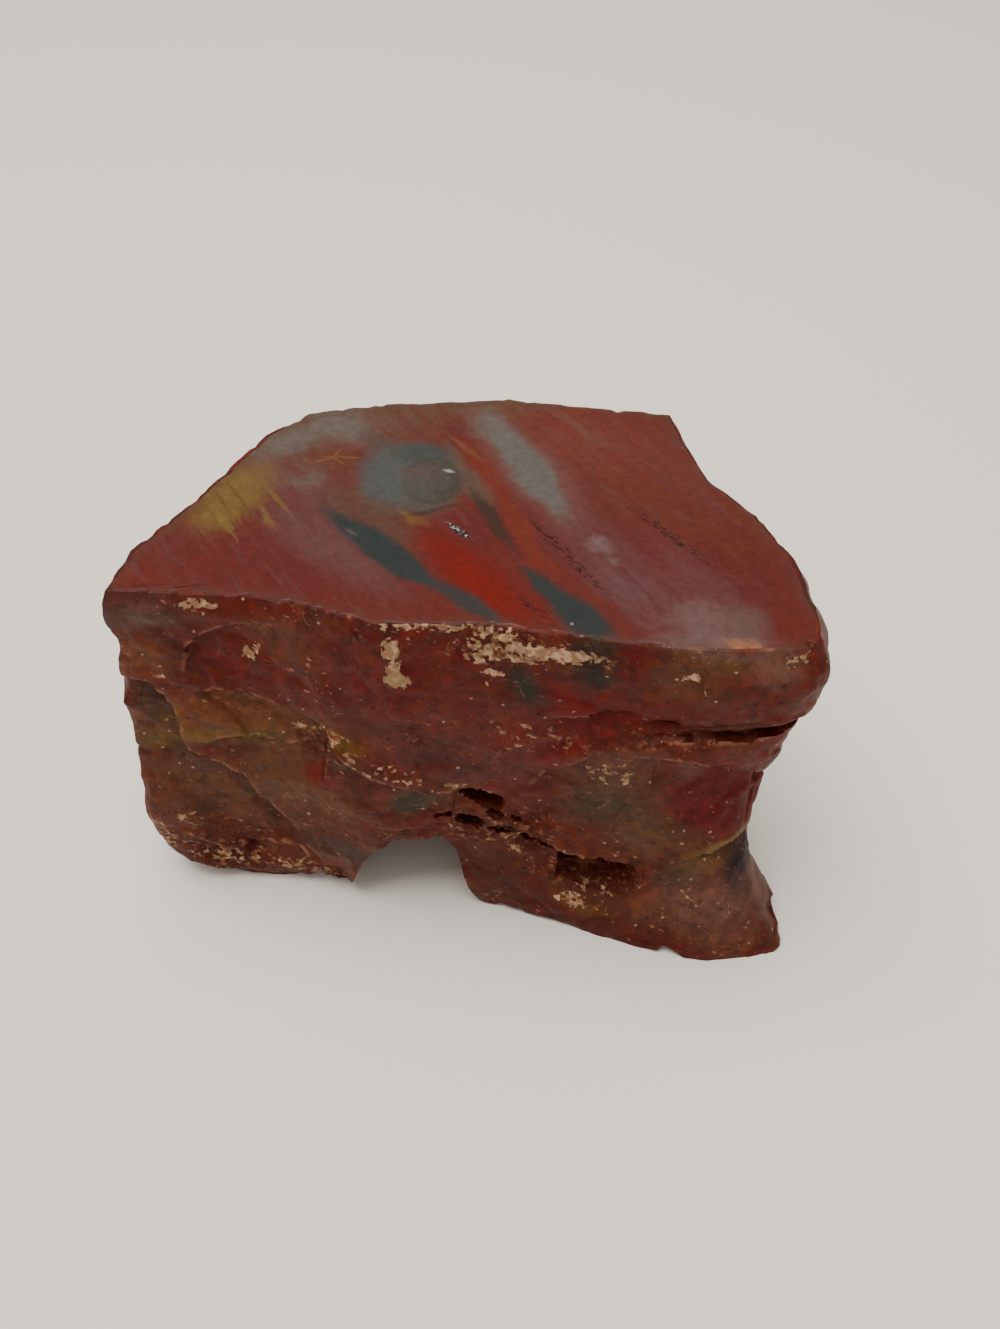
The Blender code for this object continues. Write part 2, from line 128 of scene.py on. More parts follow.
# Small holes of the front as (x, height, half width, half height, lean in degrees, depth, power: 2 for an oval, more
# for straighter sides)
HOLES = [
    (-0.3, 42, 4.7, 2.5, -24, 6, 2), (-2.4, 33.6, 3.4, 1.9, -18, 5, 2), (5, 31, 3.8, 1.4, -8, 4.5, 2),
    (18.9, 20.6, 2.2, 2.4, 0, 7, 4), (29.6, 20.4, 3, 1.9, -8, 6.4, 4), (25, 18.6, 8.6, 4, -4, 3.4, 6),
    (-8.2, 35.6, 1.9, 1.2, -20, 2.6, 2), (10.6, 28, 2.4, 1.5, -30, 3, 2), (14.4, 25.4, 1.9, 1.5, 0, 2.8, 2),
    (3, 36.6, 2.2, 1.2, -30, 2.6, 2), (7.4, 35.4, 1.5, 1, -30, 2.2, 2),
]
HOLE_SINK = 0.35
# Knobs that roughen the holes' outlines as (size across, share, seed)
KNOBS = [(2.0, 0.34, 70), (0.9, 0.22, 71)]
# A crack's wedge ends this many half openings from its path, and soft-edged ovals this many half sizes from
# their middle
CRACK_REACH, CRUMBLY_REACH, CRUST_REACH = 1.35, 1.4, 1.5
# Cracks and holes at least this deep are full of shade
SHADE_DEPTH = 3.0

# Crumbly places of the front as (x, height, half width, half height)
CRUMBLY = [
    (4, 33, 15, 7), (9, 29, 6, 7), (24, 18, 10, 5), (-60, 12, 14, 10), (-34, 5, 16, 5), (-31, 54, 8, 4),
    (10, 90, 18, 3.5),
]

# The underside: the arch in the front edge, and the patches that touch the ground
ARCH_EDGE = [(-36, 0), (-33, 1.5), (-30.5, 5), (-27.5, 15), (-23.5, 22.5), (-16, 26.2), (-8.5, 26.6),
             (-5.4, 21), (-4.1, 14), (-3, 6), (-1, 1.2), (2, 0)]
ARCH_DEPTH = 27.0
ARCH_FRONT = -27.0
FEET = [((-50, -8), 11), ((30, -24), 12), ((52, -30), 9), ((8, -20), 6),
        ((-22, 22), 12), ((22, 16), 12)]
UNDERSIDE_RELIEF = 3.6
FOOT_FLAT_SHARE = 0.75
# The arch's roof is rough by this share, from a quarter of its depth on
ROOF_ROUGHNESS = 0.12

# Rows keep level down to this height and squeeze below it. Columns stand closer where the arch's edge is steep,
# as (x from, x to, how many times closer)
KNEE_HEIGHT = 47.0
CLOSE_COLUMNS = [(-34, -25, 1.5), (-7, -0.5, 3)]

# Chips of the broken faces as (size across, height, seed), largest first. The fine ones have softer creases
CHIPS = [(30, 3, 5), (11, 1.1, 25)]
FINE_CHIPS = [(5.2, 0.42, 61), (2.4, 0.15, 81)]
SWELL = (24, 1.2, 45)
FINE_CREASES = 9.0
FRONT_CALM = 0.6
CRUMB_SIZE = 1.9

# Wall rows crowd towards the rim and underside rings towards the walls, as powers of an even spacing
WALL_CROWDING = 1.12
UNDERSIDE_CROWDING = 1.35
# The corners are fully rounded from a third of the way down, and the relief is full from a ninth of the way down
# and from this height above the ground, with a small share of it at the rim and on the ground
ROUNDING_PACE, RELIEF_PACE, RELIEF_HEIGHT = 3.0, 9.0, 5.0
RIM_RELIEF, GROUND_RELIEF = 0.12, 0.25
# Fine chips and crumbs are full from a thirtieth of the way down, and have this share at the rim
FINE_PACE, FINE_LEAST = 30.0, 0.1
# Cracks and holes are cut only where a column belongs to the front at least this much
FULL_FRONT = 0.99
# The rings of the polished top: shares of the way out to the band, and insets from the rim in millimetres. The
# rim attribute has these values on the second inset, the first one and the rim
TOP_SHARES = (0.3, 0.6, 0.85)
TOP_INSETS = (0.4, 1.1)
RIM_VALUES = [0.6, 0.9, 1.0]
# Nicks of the rim: sizes across of broad and small ones, and how rare the broad ones are
BROAD_NICK, SMALL_NICK, NICK_RARITY = 6.5, 2.6, 0.35
# How far down a nick of the rim and the worn bevel reach, in millimetres
NICK_REACH, BEVEL_REACH = 1.3, 0.5
SHARP_ANGLE = 55.0

QUARTZ_IOR = 1.544
SENSOR_WIDTH, NEAREST_SEEN = 36.0, 0.01
POLISHED_ROUGHNESS, HOLLOW_ROUGHNESS = 0.26, 0.5
WAXY_ROUGHNESS, DULL_ROUGHNESS = 0.45, 0.85

# Markings of the polished top as (x, y, half length, half width, turn in degrees, softness, pointedness,
# strength, coordinates, colour), in the shared frame in millimetres. Later ones lie over earlier ones. The
# clouds lie under the wood's grain, the other markings over it
TOP_CLOUDS = [
    (-38, -9.5, 26, 9, -6, 0.9, 0, 0.55, "wavy", "crimson"),
    (52, -17, 13, 7, -70, 0.9, 0, 0.6, "wavy", "crimson"),
    (30, 22, 22, 11, -40, 0.9, 0, 0.5, "wavy", "brick_light"),
    (46, 2, 16, 8, -40, 0.9, 0, 0.6, "wavy", "rust"),
    (27, -7, 25, 7.5, -58, 0.9, 0, 0.6, "streaky_right", "mauve"),
    (34, -21, 12, 5.5, -52, 0.9, 0, 0.5, "streaky_right", "lilac"),
    (46, -17, 11, 3.5, -58, 0.9, 0, 0.4, "streaky_right", "lilac"),
    (-30, 7, 12, 8, -50, 0.9, 0, 0.8, "streaky_left", "mauve_grey"),
    (-29, -2.5, 9, 5, -45, 0.9, 0, 0.6, "wavy", "mauve"),
    (-34, 25, 16, 10, 35, 0.9, 0, 0.8, "wavy", "haze_brown"),
    (-22, 31, 16, 6, 0, 0.9, 0, 0.7, "wavy", "haze_brown"),
    (2, 37.5, 19, 4.6, 4, 0.8, 0, 0.8, "wavy", "olive"),
    (-16, 1, 11.5, 5.4, -38, 0.7, 0, 0.95, "wavy", "brown_grey"),
    (-22.5, -8.5, 15, 4.8, -44, 0.8, 0, 0.9, "wavy", "mauve_grey"),
    (2.4, -2.2, 7, 4.6, -50, 0.9, 0, 0.9, "wavy", "crimson"),
]
TOP_MARKINGS = [
    (-50.5, 11, 16, 2.8, 57, 0.9, 0, 0.6, "wavy", "olive"),
    (-45, 7, 10, 5.4, 57, 0.5, 0, 0.75, "streaky_left", "mustard"),
    (-45.6, -0.6, 4.8, 0.9, -62, 0.5, 0.6, 0.75, "streaky_left", "mustard"),
    (-37.6, 1.4, 4.6, 0.9, -56, 0.5, 0.6, 0.6, "streaky_left", "mustard"),
    (-35.6, 6.4, 5.4, 0.6, -55, 0.5, 0.6, 0.6, "plain", "mustard"),
    (-47, 6.5, 6, 0.4, -60, 0.9, 0.4, 0.7, "plain", "mustard_dark"),
    (-44.4, 8.5, 6, 0.4, -58, 0.9, 0.4, 0.7, "plain", "mustard_dark"),
    (-42, 5, 5, 0.3, -58, 0.9, 0.4, 0.6, "plain", "mustard_dark"),
    (-48.6, 3, 4, 0.3, -60, 0.9, 0.4, 0.6, "plain", "mustard_dark"),
    (-37, 23.6, 6, 3.6, 25, 0.7, 0, 0.75, "mottled", "haze_grey"),
    (-31, 28, 4.6, 2.4, 20, 0.7, 0, 0.6, "mottled", "haze_grey"),
    (-24.6, 29.6, 6.4, 4.2, -30, 0.8, 0, 0.85, "mottled", "haze_grey"),
    (-30.5, 12.5, 4, 2, 10, 0.8, 0, 0.5, "mottled", "haze_grey"),
    (-24.5, 19.6, 6, 1.9, -5, 0.9, 0, 0.6, "wavy", "rust"),
    (-23.4, 19.6, 4.6, 0.36, -4, 0.6, 0.5, 0.8, "plain", "orange"),
    (-27.2, 19, 3.2, 0.36, 24, 0.6, 0.5, 0.8, "plain", "orange"),
    (-25.2, 20.8, 2.6, 0.32, 62, 0.6, 0.5, 0.8, "plain", "orange"),
    (-24.6, 18.4, 2.8, 0.3, -38, 0.6, 0.5, 0.7, "plain", "orange"),
    (-16.6, 24, 5.4, 2.6, -50, 0.6, 0, 0.85, "mottled", "eye_haze"),
    (-8.6, 13, 11.2, 11.4, 0, 0.25, 0, 0.5, "mottled", "ochre"),
    (-9.2, 13.2, 10.4, 10.6, 0, 0.2, 0, 0.92, "smooth", "eye_grey"),
    (-12.4, 15.4, 7.4, 7, -15, 0.6, 0, 0.85, "mottled", "eye_blue"),
    (-7.4, 20.4, 6.4, 2.8, -14, 0.6, 0, 0.8, "mottled", "eye_teal"),
    (-14, 8.6, 4.6, 2.6, -24, 0.7, 0, 0.6, "mottled", "eye_blue"),
    (-5, 12.2, 6.2, 7, 8, 0.08, 0, 0.6, "smooth", "eye_dark"),
    (-5.9, 12.9, 6, 6.6, 8, 0.3, 0, 0.6, "smooth", "eye_grey"),
    (-7.6, 11.6, 5, 3.6, -20, 0.8, 0, 0.5, "mottled", "eye_blue"),
    (-7, 14.2, 4, 2.2, 0, 0.8, 0, 0.6, "mottled", "eye_mauve"),
    (-3, 12, 3.2, 4.2, 0, 0.1, 0, 0.55, "smooth", "eye_dark"),
    (-3.9, 12.5, 3.1, 4, 0, 0.3, 0, 0.6, "smooth", "eye_grey"),
    # A painted glint in the eye
    (-1.9, 15.2, 1.3, 0.5, -20, 0.5, 0.6, 0.9, "plain", "quartz_and_glint"),
    (-5.4, 3.2, 6.6, 0.7, 20, 0.6, 0.3, 0.7, "smooth", "eye_dark"),
    (0, 19.4, 6, 1.4, -62, 0.6, 0.3, 0.7, "wavy", "lens_olive"),
    (-8.4, 0.4, 3.2, 1.1, -35, 0.8, 0.3, 0.6, "wavy", "mustard"),
    (-16.4, 5.2, 5, 0.9, -40, 0.7, 0.2, 0.6, "wavy", "ochre"),
    (5.6, 14.5, 9.5, 2.8, -66, 0.45, 0, 0.85, "wavy", "orange_red"),
    (11.8, -1.5, 8.5, 2.3, -70, 0.5, 0, 0.9, "wavy", "orange_red"),
    (18.2, -13, 8, 2, -48, 0.5, 0.2, 0.85, "wavy", "orange_red"),
    (26.2, -23.2, 11, 2.7, -52, 0.45, 0, 0.95, "wavy", "red_band"),
    (1.4, 22.5, 5, 0.7, -50, 0.7, 0.4, 0.6, "plain", "orange"),
    (3.4, 10.6, 7, 2.4, -62, 0.6, 0.3, 0.8, "wavy", "lens_olive"),
    (7, 0.8, 8.6, 1.8, -66, 0.5, 0.4, 0.9, "wavy", "green_grey"),
    (14.6, 16, 19, 5.6, -63, 0.6, 0.1, 0.75, "streaky_right", "lens_haze"),
    (13.8, 17.4, 17.5, 3.7, -65, 0.28, 0.1, 0.95, "streaky_right", "blue_grey"),
    (6.8, 30, 5, 3.6, -60, 0.8, 0, 0.7, "mottled", "haze_grey"),
    (27.6, -6.4, 2.4, 1.7, -50, 0.8, 0, 0.75, "mottled", "lilac_grey"),
    (30.4, -11.5, 1.8, 1.1, -50, 0.8, 0, 0.5, "mottled", "lilac_grey"),
    (24.9, 29.4, 8, 1.1, -48, 0.9, 0.2, 0.5, "wavy", "lens_haze"),
    (3, -14.6, 16.5, 4.6, -52, 0.45, 0.2, 0.95, "wavy", "vermilion"),
    (4, -16.4, 10.5, 2.8, -50, 0.8, 0, 0.9, "wavy", "vermilion_bright"),
    (13.2, -21.6, 8, 1.6, -52, 0.6, 0.3, 0.75, "streaky_right", "dark_red"),
    (-14.2, -7.8, 16.8, 3.4, -44, 0.3, 0.45, 1, "smooth", "slate"),
    (-10, -11.6, 6.5, 2.6, -42, 0.5, 0, 0.9, "smooth", "slate"),
    # A painted glint in the slate vein
    (-20.4, -3, 1.5, 0.4, -42, 0.8, 0, 0.6, "plain", "blue_glint"),
    (2.6, -22.2, 8.8, 2.1, -41, 0.4, 0.25, 0.95, "smooth", "slate_blue"),
    (17.8, -19, 8, 2, -50, 0.4, 0.45, 0.95, "smooth", "slate"),
    (23.6, -26.8, 8.6, 3.7, -52, 0.35, 0.1, 0.97, "smooth", "slate"),
    (21.5, -27.6, 0.3, 0.3, 0, 0.5, 0, 0.8, "plain", "quartz_and_glint"),
    (45.5, -26.5, 4.6, 4.2, 6, 0.8, 0, 0.6, "mottled", "lilac_grey"),
    (53, -27.6, 3.6, 4, 6, 0.8, 0, 0.5, "mottled", "haze_grey"),
    (45, -33, 10, 2.6, 5, 0.9, 0, 0.75, "mottled", "lilac_grey"),
    (51, -33.8, 3.4, 2, 0, 0.8, 0, 0.95, "mottled", "peach"),
]

# Broken lines of short dark cracks on the top as (x, y, half length, half width, turn)
DASH_LINES = [(20.8, -9, 13, 1, -56), (41.2, -3.8, 11, 1.1, -49.5), (15, -24, 6, 0.9, -50)]

# The little crystal-lined hollow in the polished top as (x, y, half length, half width, turn)
VUG = (0.6, -2.9, 3.2, 0.8, -43)

# Colours of the broken front as (x, height, half width, half height, turn in degrees, softness, strength, colour)
FRONT_MARKINGS = [
    (-5, 70, 34, 17, 0, 0.9, 0.35, "crimson"), (-8, 62, 20, 10, -10, 0.9, 0.3, "grey"),
    # The grey patch at the left of the rim, second on the next line, is a painted sheen
    (30, 76, 30, 9, 0, 0.8, 0.5, "crimson"), (-60, 89, 10, 4.5, 0, 0.8, 0.7, "grey"),
    (-62, 77, 7, 5, 0, 0.6, 0.85, "brown"), (-43.5, 79.5, 9, 6, 0, 0.8, 0.45, "crimson"),
    (-63, 60, 4.2, 6.5, -10, 0.5, 0.5, "green_grey"), (-63.5, 47.5, 6.6, 4.2, 0, 0.6, 0.85, "olive"),
    (-45, 61, 13.5, 6, -12, 0.4, 0.95, "brown"), (-49, 54, 16, 3.2, -3, 0.7, 0.85, "olive"),
    (-57.5, 58, 1.6, 6, 0, 0.6, 0.8, "ochre"), (-35, 42, 14, 8, -30, 0.8, 0.7, "umber"),
    (-44, 26, 22, 14, 0, 0.9, 0.55, "umber"), (-26, 60.5, 6.5, 4.6, 0, 0.8, 0.7, "brown"),
    (-22.5, 58.5, 2, 2, 0, 0.9, 0.6, "mustard"), (-27, 54, 6, 2.6, -20, 0.8, 0.7, "ochre"),
    (-55, 37, 13, 8, 0, 0.8, 0.7, "umber"), (-55, 40.5, 6, 3, 0, 0.8, 0.5, "grey"),
    (-28.4, 45, 3.6, 3.2, 20, 0.7, 0.75, "red"), (-10.5, 40, 4.6, 3.4, 20, 0.5, 0.9, "green_grey"),
    (-25.5, 20, 6, 3.6, 0, 0.8, 0.75, "green_grey"), (13.4, 80, 3.2, 4.4, 20, 0.7, 0.92, "black_green"),
    (26.5, 90, 5.6, 3.8, 0, 0.4, 0.95, "black_green"), (26, 84.5, 3.8, 3.4, 0, 0.5, 0.9, "black_green"),
    (33.5, 90, 3.6, 3.6, 0, 0.6, 0.85, "crimson"), (42, 88, 6, 4, 0, 0.8, 0.6, "umber"),
    (49, 91, 7.5, 2.6, 0, 0.7, 0.8, "umber"), (51, 91.6, 3.6, 1.6, 0, 0.8, 0.6, "ochre"),
    (45, 84, 9, 4, 0, 0.9, 0.5, "umber"), (58.5, 90, 4.6, 3.6, -20, 0.8, 0.8, "lilac"),
    # The lilac band along the right of the rim, first on the next line, is a painted sheen on the rounded rim
    (47, 93.6, 13, 1.6, 0, 0.8, 0.8, "lilac"), (33, 70.5, 6, 3.2, 0, 0.7, 0.7, "red"),
    (23, 76, 4.5, 8, 10, 0.8, 0.55, "red"), (23, 62, 5, 6.5, 0, 0.8, 0.6, "red"),
    (52, 66.5, 13, 3.2, -8, 0.6, 0.3, "tan"), (36, 50, 12, 15, 0, 0.7, 0.9, "umber"),
    (30, 41, 7, 5, 0, 0.9, 0.6, "green_grey"), (43, 32, 9, 6, 0, 0.8, 0.7, "umber"),
    (47.5, 53, 10, 10, 0, 0.9, 0.75, "crimson"), (54.5, 45.5, 10.6, 13, 20, 0.3, 0.95, "wine"),
    (47.5, 54, 3, 4.6, 0, 0.9, 0.6, "lilac"), (57, 28.4, 6.4, 1.5, 22, 0.7, 0.9, "olive_light"),
    (60.8, 21.5, 4.4, 5.6, 0, 0.6, 0.95, "blue_black"), (52.6, 24, 5, 3.4, 10, 0.9, 0.6, "olive_light"),
    (50, 22, 6, 5, 0, 0.8, 0.8, "umber"), (47, 19, 4.6, 3.6, 20, 0.9, 0.7, "green_grey"),
    (56, 12, 12, 7, 0, 0.9, 0.85, "lilac"), (42, 9, 12, 5, -8, 0.9, 0.55, "umber"),
    (26, 9.5, 6.4, 2.6, -12, 0.6, 0.7, "ochre"), (12, 28, 15, 7, -20, 0.9, 0.75, "orange"),
    (29, 19.5, 8, 4, -5, 0.7, 0.7, "orange"), (8, 14, 10, 9, 0, 0.9, 0.7, "maroon"),
    (30, 13, 7, 3, -10, 0.8, 0.6, "maroon"), (40, 3.5, 16, 4.5, -8, 0.9, 0.55, "maroon"),
    # The lilac patch at the left of the rim, second on the next line, is a painted sheen too
    (-31, 22, 6, 10, 10, 0.9, 0.45, "maroon"), (-60, 88, 5, 2.6, 0, 0.9, 0.5, "lilac"),
    # Painted light on the shaded back of the pocket, in the colour of its orange crumbs
    (25.6, 18.4, 3.6, 2, -4, 0.7, 0.9, "crumb"),
]

# Cream crust of chalcedony on the front as (x, height, half width, half height, turn in degrees, solidity)
CRUSTS = [
    (-48.5, 91.6, 4, 1.5, 0, 0.6), (-40, 79.4, 1.9, 1.5, 30, 0.9), (-37.8, 81.8, 1.1, 0.8, 0, 0.7),
    (-11.6, 87.6, 1.7, 3, 0, 0.95), (-11.4, 83.4, 1.5, 2.6, -4, 0.9), (-10.8, 80.2, 2.3, 2, 0, 0.95),
    (-5, 93.4, 10, 1.5, 0, 0.66), (5.2, 89, 4.2, 4, 0, 0.6), (8, 92.8, 5, 1.8, 0, 0.6),
    (18.5, 89.6, 9.6, 1.5, 0, 0.95), (13.5, 87.6, 5, 1.3, 8, 0.75), (7.2, 82.6, 2.2, 0.8, 0, 0.95),
    (43.4, 87.4, 1.7, 0.9, 0, 0.8), (40.6, 86, 1.4, 0.8, 20, 0.6), (61.5, 91.6, 3.4, 1.3, 10, 0.6),
    (-25, 59.4, 3.4, 2.6, -30, 0.55), (-22, 55, 2, 3.6, 25, 0.55), (-31, 58.6, 3.6, 1.3, 0, 0.5),
    (-17.6, 51, 2.8, 0.8, -40, 0.6), (25, 9.8, 4.6, 1.9, -12, 0.66), (-59.6, 71.4, 1.8, 0.8, 0, 0.8),
    (-69.5, 23, 2, 1.3, 0, 0.8), (-55, 10.5, 1.8, 1.2, -30, 0.7), (-63.5, 10, 1.8, 1, -30, 0.6),
    (-34, 8.6, 5, 0.9, -12, 0.65), (-1, 47.6, 3, 1.1, -15, 0.55), (5.4, 44, 1.6, 1.6, -30, 0.5),
    (12, 23.2, 1.7, 1.5, 0, 0.8), (8.6, 33.4, 3, 0.6, -30, 0.6), (12.6, 29.6, 0.6, 2.6, -20, 0.55),
    (-67, 17, 4.5, 8, 20, 0.4), (-54, 9.5, 9, 3.6, -10, 0.42), (-37, 7, 8, 3, -10, 0.44), (-61, 25, 3.4, 3, 0, 0.36),
    (31, 56, 8, 9, 0, 0.31), (14, 66, 13, 6, 0, 0.28), (4, 30, 12, 5, -20, 0.3), (-12, 52, 10, 4, -20, 0.28),
    (30, 14, 7, 2, -12, 0.3), (51, 14.5, 6.5, 0.32, -42, 0.5), (59.6, 13, 0.32, 5.4, 10, 0.45),
    (54, 8.6, 6, 0.3, -8, 0.42), (48, 19, 0.3, 4.6, 24, 0.4), (24, 24.4, 7.5, 0.5, -6, 0.5),
    (-47, 24, 7, 0.3, 34, 0.4), (-20, 74, 6, 0.3, -24, 0.42), (-34, 70, 7, 0.3, -12, 0.42),
    (46, 84.6, 0.3, 2.6, 10, 0.5), (3, 60, 0.3, 4, -20, 0.42), (-8, 62, 0.3, 3, 30, 0.42),
]

PATCH_NUMBERS = ("Across", "Up", "Depth squared", "Middle across", "Middle up", "Half length", "Half width",
                 "Turn", "Softness", "Pointedness", "Strength")
FRONT_MIDDLE_Y = -26.0
FRONT_REACH_Y = 18.0


def linear(code):
    """Turns an sRGB hex value into linear red, green and blue with an alpha of one."""
    parts = [int(code[k : k + 2], 16) / 255.0 for k in (1, 3, 5)]
    return tuple(p / 12.92 if p <= 0.04045 else ((p + 0.055) / 1.055) ** 2.4 for p in parts) + (1.0,)


def length_property(name, description, millimetres):
    """A length that is shown in the scene's units, given in millimetres."""
    return bpy.props.FloatProperty(name=name, description=description, default=millimetres * MM, min=0.0,
                                   unit="LENGTH", subtype="DISTANCE", precision=5)


def colour_property(name, description, code):
    """A colour, given as an sRGB hex value."""
    return bpy.props.FloatVectorProperty(name=name, description=description, default=linear(code), size=4,
                                         min=0.0, max=1.0, subtype="COLOR")


def colour_table(rows):
    """A colour property for each row of name, sRGB hex value and description, labelled by its name."""
    return {name: colour_property(name.replace("_", " ").capitalize(), words, code) for name, code, words in rows}


class StoneShape(bpy.types.PropertyGroup):
    """Sizes of the block's surface."""

    height: length_property("Height", "Height of the polished top above the ground", 94.0)
    front_step: length_property("Front step", "Distance between columns on the front", 0.42)
    hidden_step: length_property("Side step", "Distance between columns on the other sides", 1.38)
    wall_rows: bpy.props.IntProperty(name="Wall rows", description="Rows from the rim to the underside",
                                     default=156, min=20)
    underside_rows: bpy.props.IntProperty(name="Underside rows", description="Rings under the block",
                                          default=26, min=4)
    rim_bevel: length_property("Rim bevel", "How far the worn rim lies below the polished top", 0.16)
    nick_depth: length_property("Nick depth", "Depth of the larger nicks in the rim", 1.1)
    crumb_height: length_property("Crumb height", "Height of the grains in crumbly places", 0.8)


class TopColours(bpy.types.PropertyGroup):
    """Colours of the polished jasper."""

    __annotations__ = colour_table([
        ("brick", "#501b11", "The main colour of the top"),
        ("brick_light", "#5a2c20", "Lighter brick red towards the back"),
        ("crimson", "#4a1715", "Smooth crimson zones"), ("rust", "#4c2011", "Brown-orange zone at the right"),
        ("mauve", "#4a2526", "Mauve clouds"), ("mauve_grey", "#4c2f2c", "Clouds beside the slate veins"),
        ("lens_haze", "#553a32", "Mauve fringe of the pale lens"),
        ("lens_olive", "#44372c", "Pale streak right of the eye"),
        ("haze_brown", "#4b3a2e", "Brown haze at the back left"),
        ("eye_haze", "#42322b", "Grey tail at the back of the eye"),
        ("eye_blue", "#3b3d3c", "Blue-grey share of the eye"),
        ("eye_teal", "#2f3230", "Dark blue-green back of the eye"), ("quartz_and_glint", "#77797a", "Glint in the eye"),
        ("lilac", "#4f393a", "Pale lilac clouds"), ("lilac_grey", "#5a4845", "Patch at the right of the front rim"),
        ("haze_grey", "#4f4740", "Blue-grey haze at the back"), ("blue_grey", "#4c4742", "The long pale lens"),
        # Blue light paints the glint in the slate vein
        ("blue_glint", "#513f3a", "The brightest of the pale lens"),
        ("olive", "#493623", "Olive tint at the back rim"), ("mustard", "#5c4a20", "Yellow patch at the left rim"),
        ("mustard_dark", "#4e340d", "Brown shade within the yellow patch"),
        ("ochre", "#46362a", "Ring round the eye"),
        ("brown_grey", "#432e22", "Zone between the eye and the slate vein"),
        ("eye_grey", "#3e3832", "Body of the round eye"), ("eye_dark", "#2c221a", "Dark rings of the eye"),
        ("eye_mauve", "#47322b", "Reddish middle of the eye"), ("orange", "#5e3a20", "Small star of orange needles"),
        ("orange_red", "#571e12", "Bands beside the pale lens"),
        ("red_band", "#4e1d17", "Band beside the slate wedge"), ("green_grey", "#2b1e16", "Thin dark streak"),
        ("vermilion", "#541008", "The brightest red flame"), ("vermilion_bright", "#5c0f04", "Middle of the flame"),
        # The crack colour also paints the shade in the hollow and in the tiny pits of the top
        ("crack", "#1c0c0c", "Short dark cracks"), ("dark_red", "#57140d", "Edge of the flame"),
        ("slate", "#232826", "Dark veins"), ("slate_blue", "#2b2826", "Tail of the dark vein"),
        # White quartz paints the hollow's crystals, with their painted glints
        ("peach", "#86593c", "Small peach spot at the rim"), ("white_quartz", "#a8a4a0", "Bright specks"),
    ])


class SideColours(bpy.types.PropertyGroup):
    """Colours of the broken jasper."""

    __annotations__ = colour_table([
        ("edge", "#33180e", "Brown line along the rim"), ("rust", "#561508", "The main colour of the broken faces"),
        ("maroon", "#3a0b05", "Darker share of the main colour"),
        ("tan", "#5c2812", "Browner share of the main colour"), ("crimson", "#520605", "Red zones of the front"),
        ("red", "#5c0805", "Small deep red patches"), ("wine", "#530408", "Patch in the scoop at the right"),
        ("brown", "#5d3018", "Smooth brown facets"), ("olive", "#5a3f16", "Olive zones at the left"),
        ("ochre", "#5a3812", "Ochre patches"), ("mustard", "#5c430e", "Yellow stain beside the crust"),
        ("olive_light", "#6e5630", "Pale streak above the foot"), ("umber", "#50341f", "Grey-brown zones"),
        ("grey", "#46302a", "Greyish zones"), ("green_grey", "#2f2a20", "Dull green patches"),
        ("black_green", "#21231a", "Dark wedge under the rim"), ("blue_black", "#17101a", "Patch above the foot"),
        ("lilac", "#5f4338", "Purplish tints"), ("orange", "#541f0e", "Crumbly rock round the holes"),
        ("crumb", "#7e4c30", "Lightest grains of the crumbly rock"),
        ("crust", "#86624a", "Cream crust of chalcedony"), ("crust_pale", "#b08c70", "Lightest of the crust"),
        # The pale chip colour also paints the highlight along the crests and the rim
        ("crust_olive", "#8a744e", "Greenish share of the crust"), ("chip", "#8a5641", "Tiny pale chips and crests"),
        # Shade is painted shade, laid in the holes, cracks and pits and under the scars' edges
        ("shade", "#1c0b07", "Dirt in holes and cracks"),
    ])


class StageLook(bpy.types.PropertyGroup):
    """The floor, the lights and the camera."""

    floor: colour_property("Floor", "Colour of the plain floor", "#e2dbd0")
    floor_size: length_property("Floor size", "Side of the square floor", 4000.0)
    sky: colour_property("Sky", "Colour of the soft light from all round", "#f4f0ea")
    sky_power: bpy.props.FloatProperty(name="Sky strength", description="Strength of the light from all round",
                                       default=0.8, min=0.0)
    key_power: bpy.props.FloatProperty(name="Overhead power", description="Power of the soft light overhead",
                                       default=15.0, min=0.0, unit="POWER")
    key_size: length_property("Overhead size", "Side of the soft light overhead", 700.0)
    key_place: bpy.props.FloatVectorProperty(name="Overhead place", description="Place of the light overhead",
                                             default=(-0.16, -0.02, 1.05), subtype="TRANSLATION", unit="LENGTH")
    camera_place: bpy.props.FloatVectorProperty(name="Camera place", description="Where the camera stands",
                                                default=(0.0085, -0.1898, 0.265), subtype="TRANSLATION",
                                                unit="LENGTH")
    camera_tilt: bpy.props.FloatProperty(name="Camera tilt", description="Angle up from straight down",
                                         default=math.radians(41.7), subtype="ANGLE", unit="ROTATION")
    camera_lens: bpy.props.FloatProperty(name="Lens", description="Focal length on a 36 mm sensor",
                                         default=35.214, min=1.0, unit="CAMERA")


def lattice(cell, seed):
    """A repeatable number from 0 to 1 for each whole-number cell: its three counts are mixed and scrambled."""
    mixed = cell[..., 0] * 0x8DA6B343 + cell[..., 1] * 0xD8163841 + cell[..., 2] * 0xCB1AB31F + seed * 0x165667B1
    mixed = mixed & 0xFFFFFFFF
    mixed = mixed ^ (mixed >> 13)
    mixed = (mixed * 0x5BD1E995) & 0xFFFFFFFF
    mixed = mixed ^ (mixed >> 15)
    return mixed / 2.0**32


def swell(points, size, seed):
    """Smooth noise from -1 to 1 with lumps about size across: the eight corner values of a cell, eased together."""
    scaled = points / size
    corner = np.floor(scaled).astype(np.int64)
    part = scaled - corner
    part = part * part * (3.0 - 2.0 * part)
    total = np.zeros(len(points))
    for step in np.ndindex(2, 2, 2):
        share = np.prod(np.where(np.array(step) == 1, part, 1.0 - part), axis=1)
        total += share * lattice(corner + np.array(step), seed)
    return 2.0 * total - 1.0


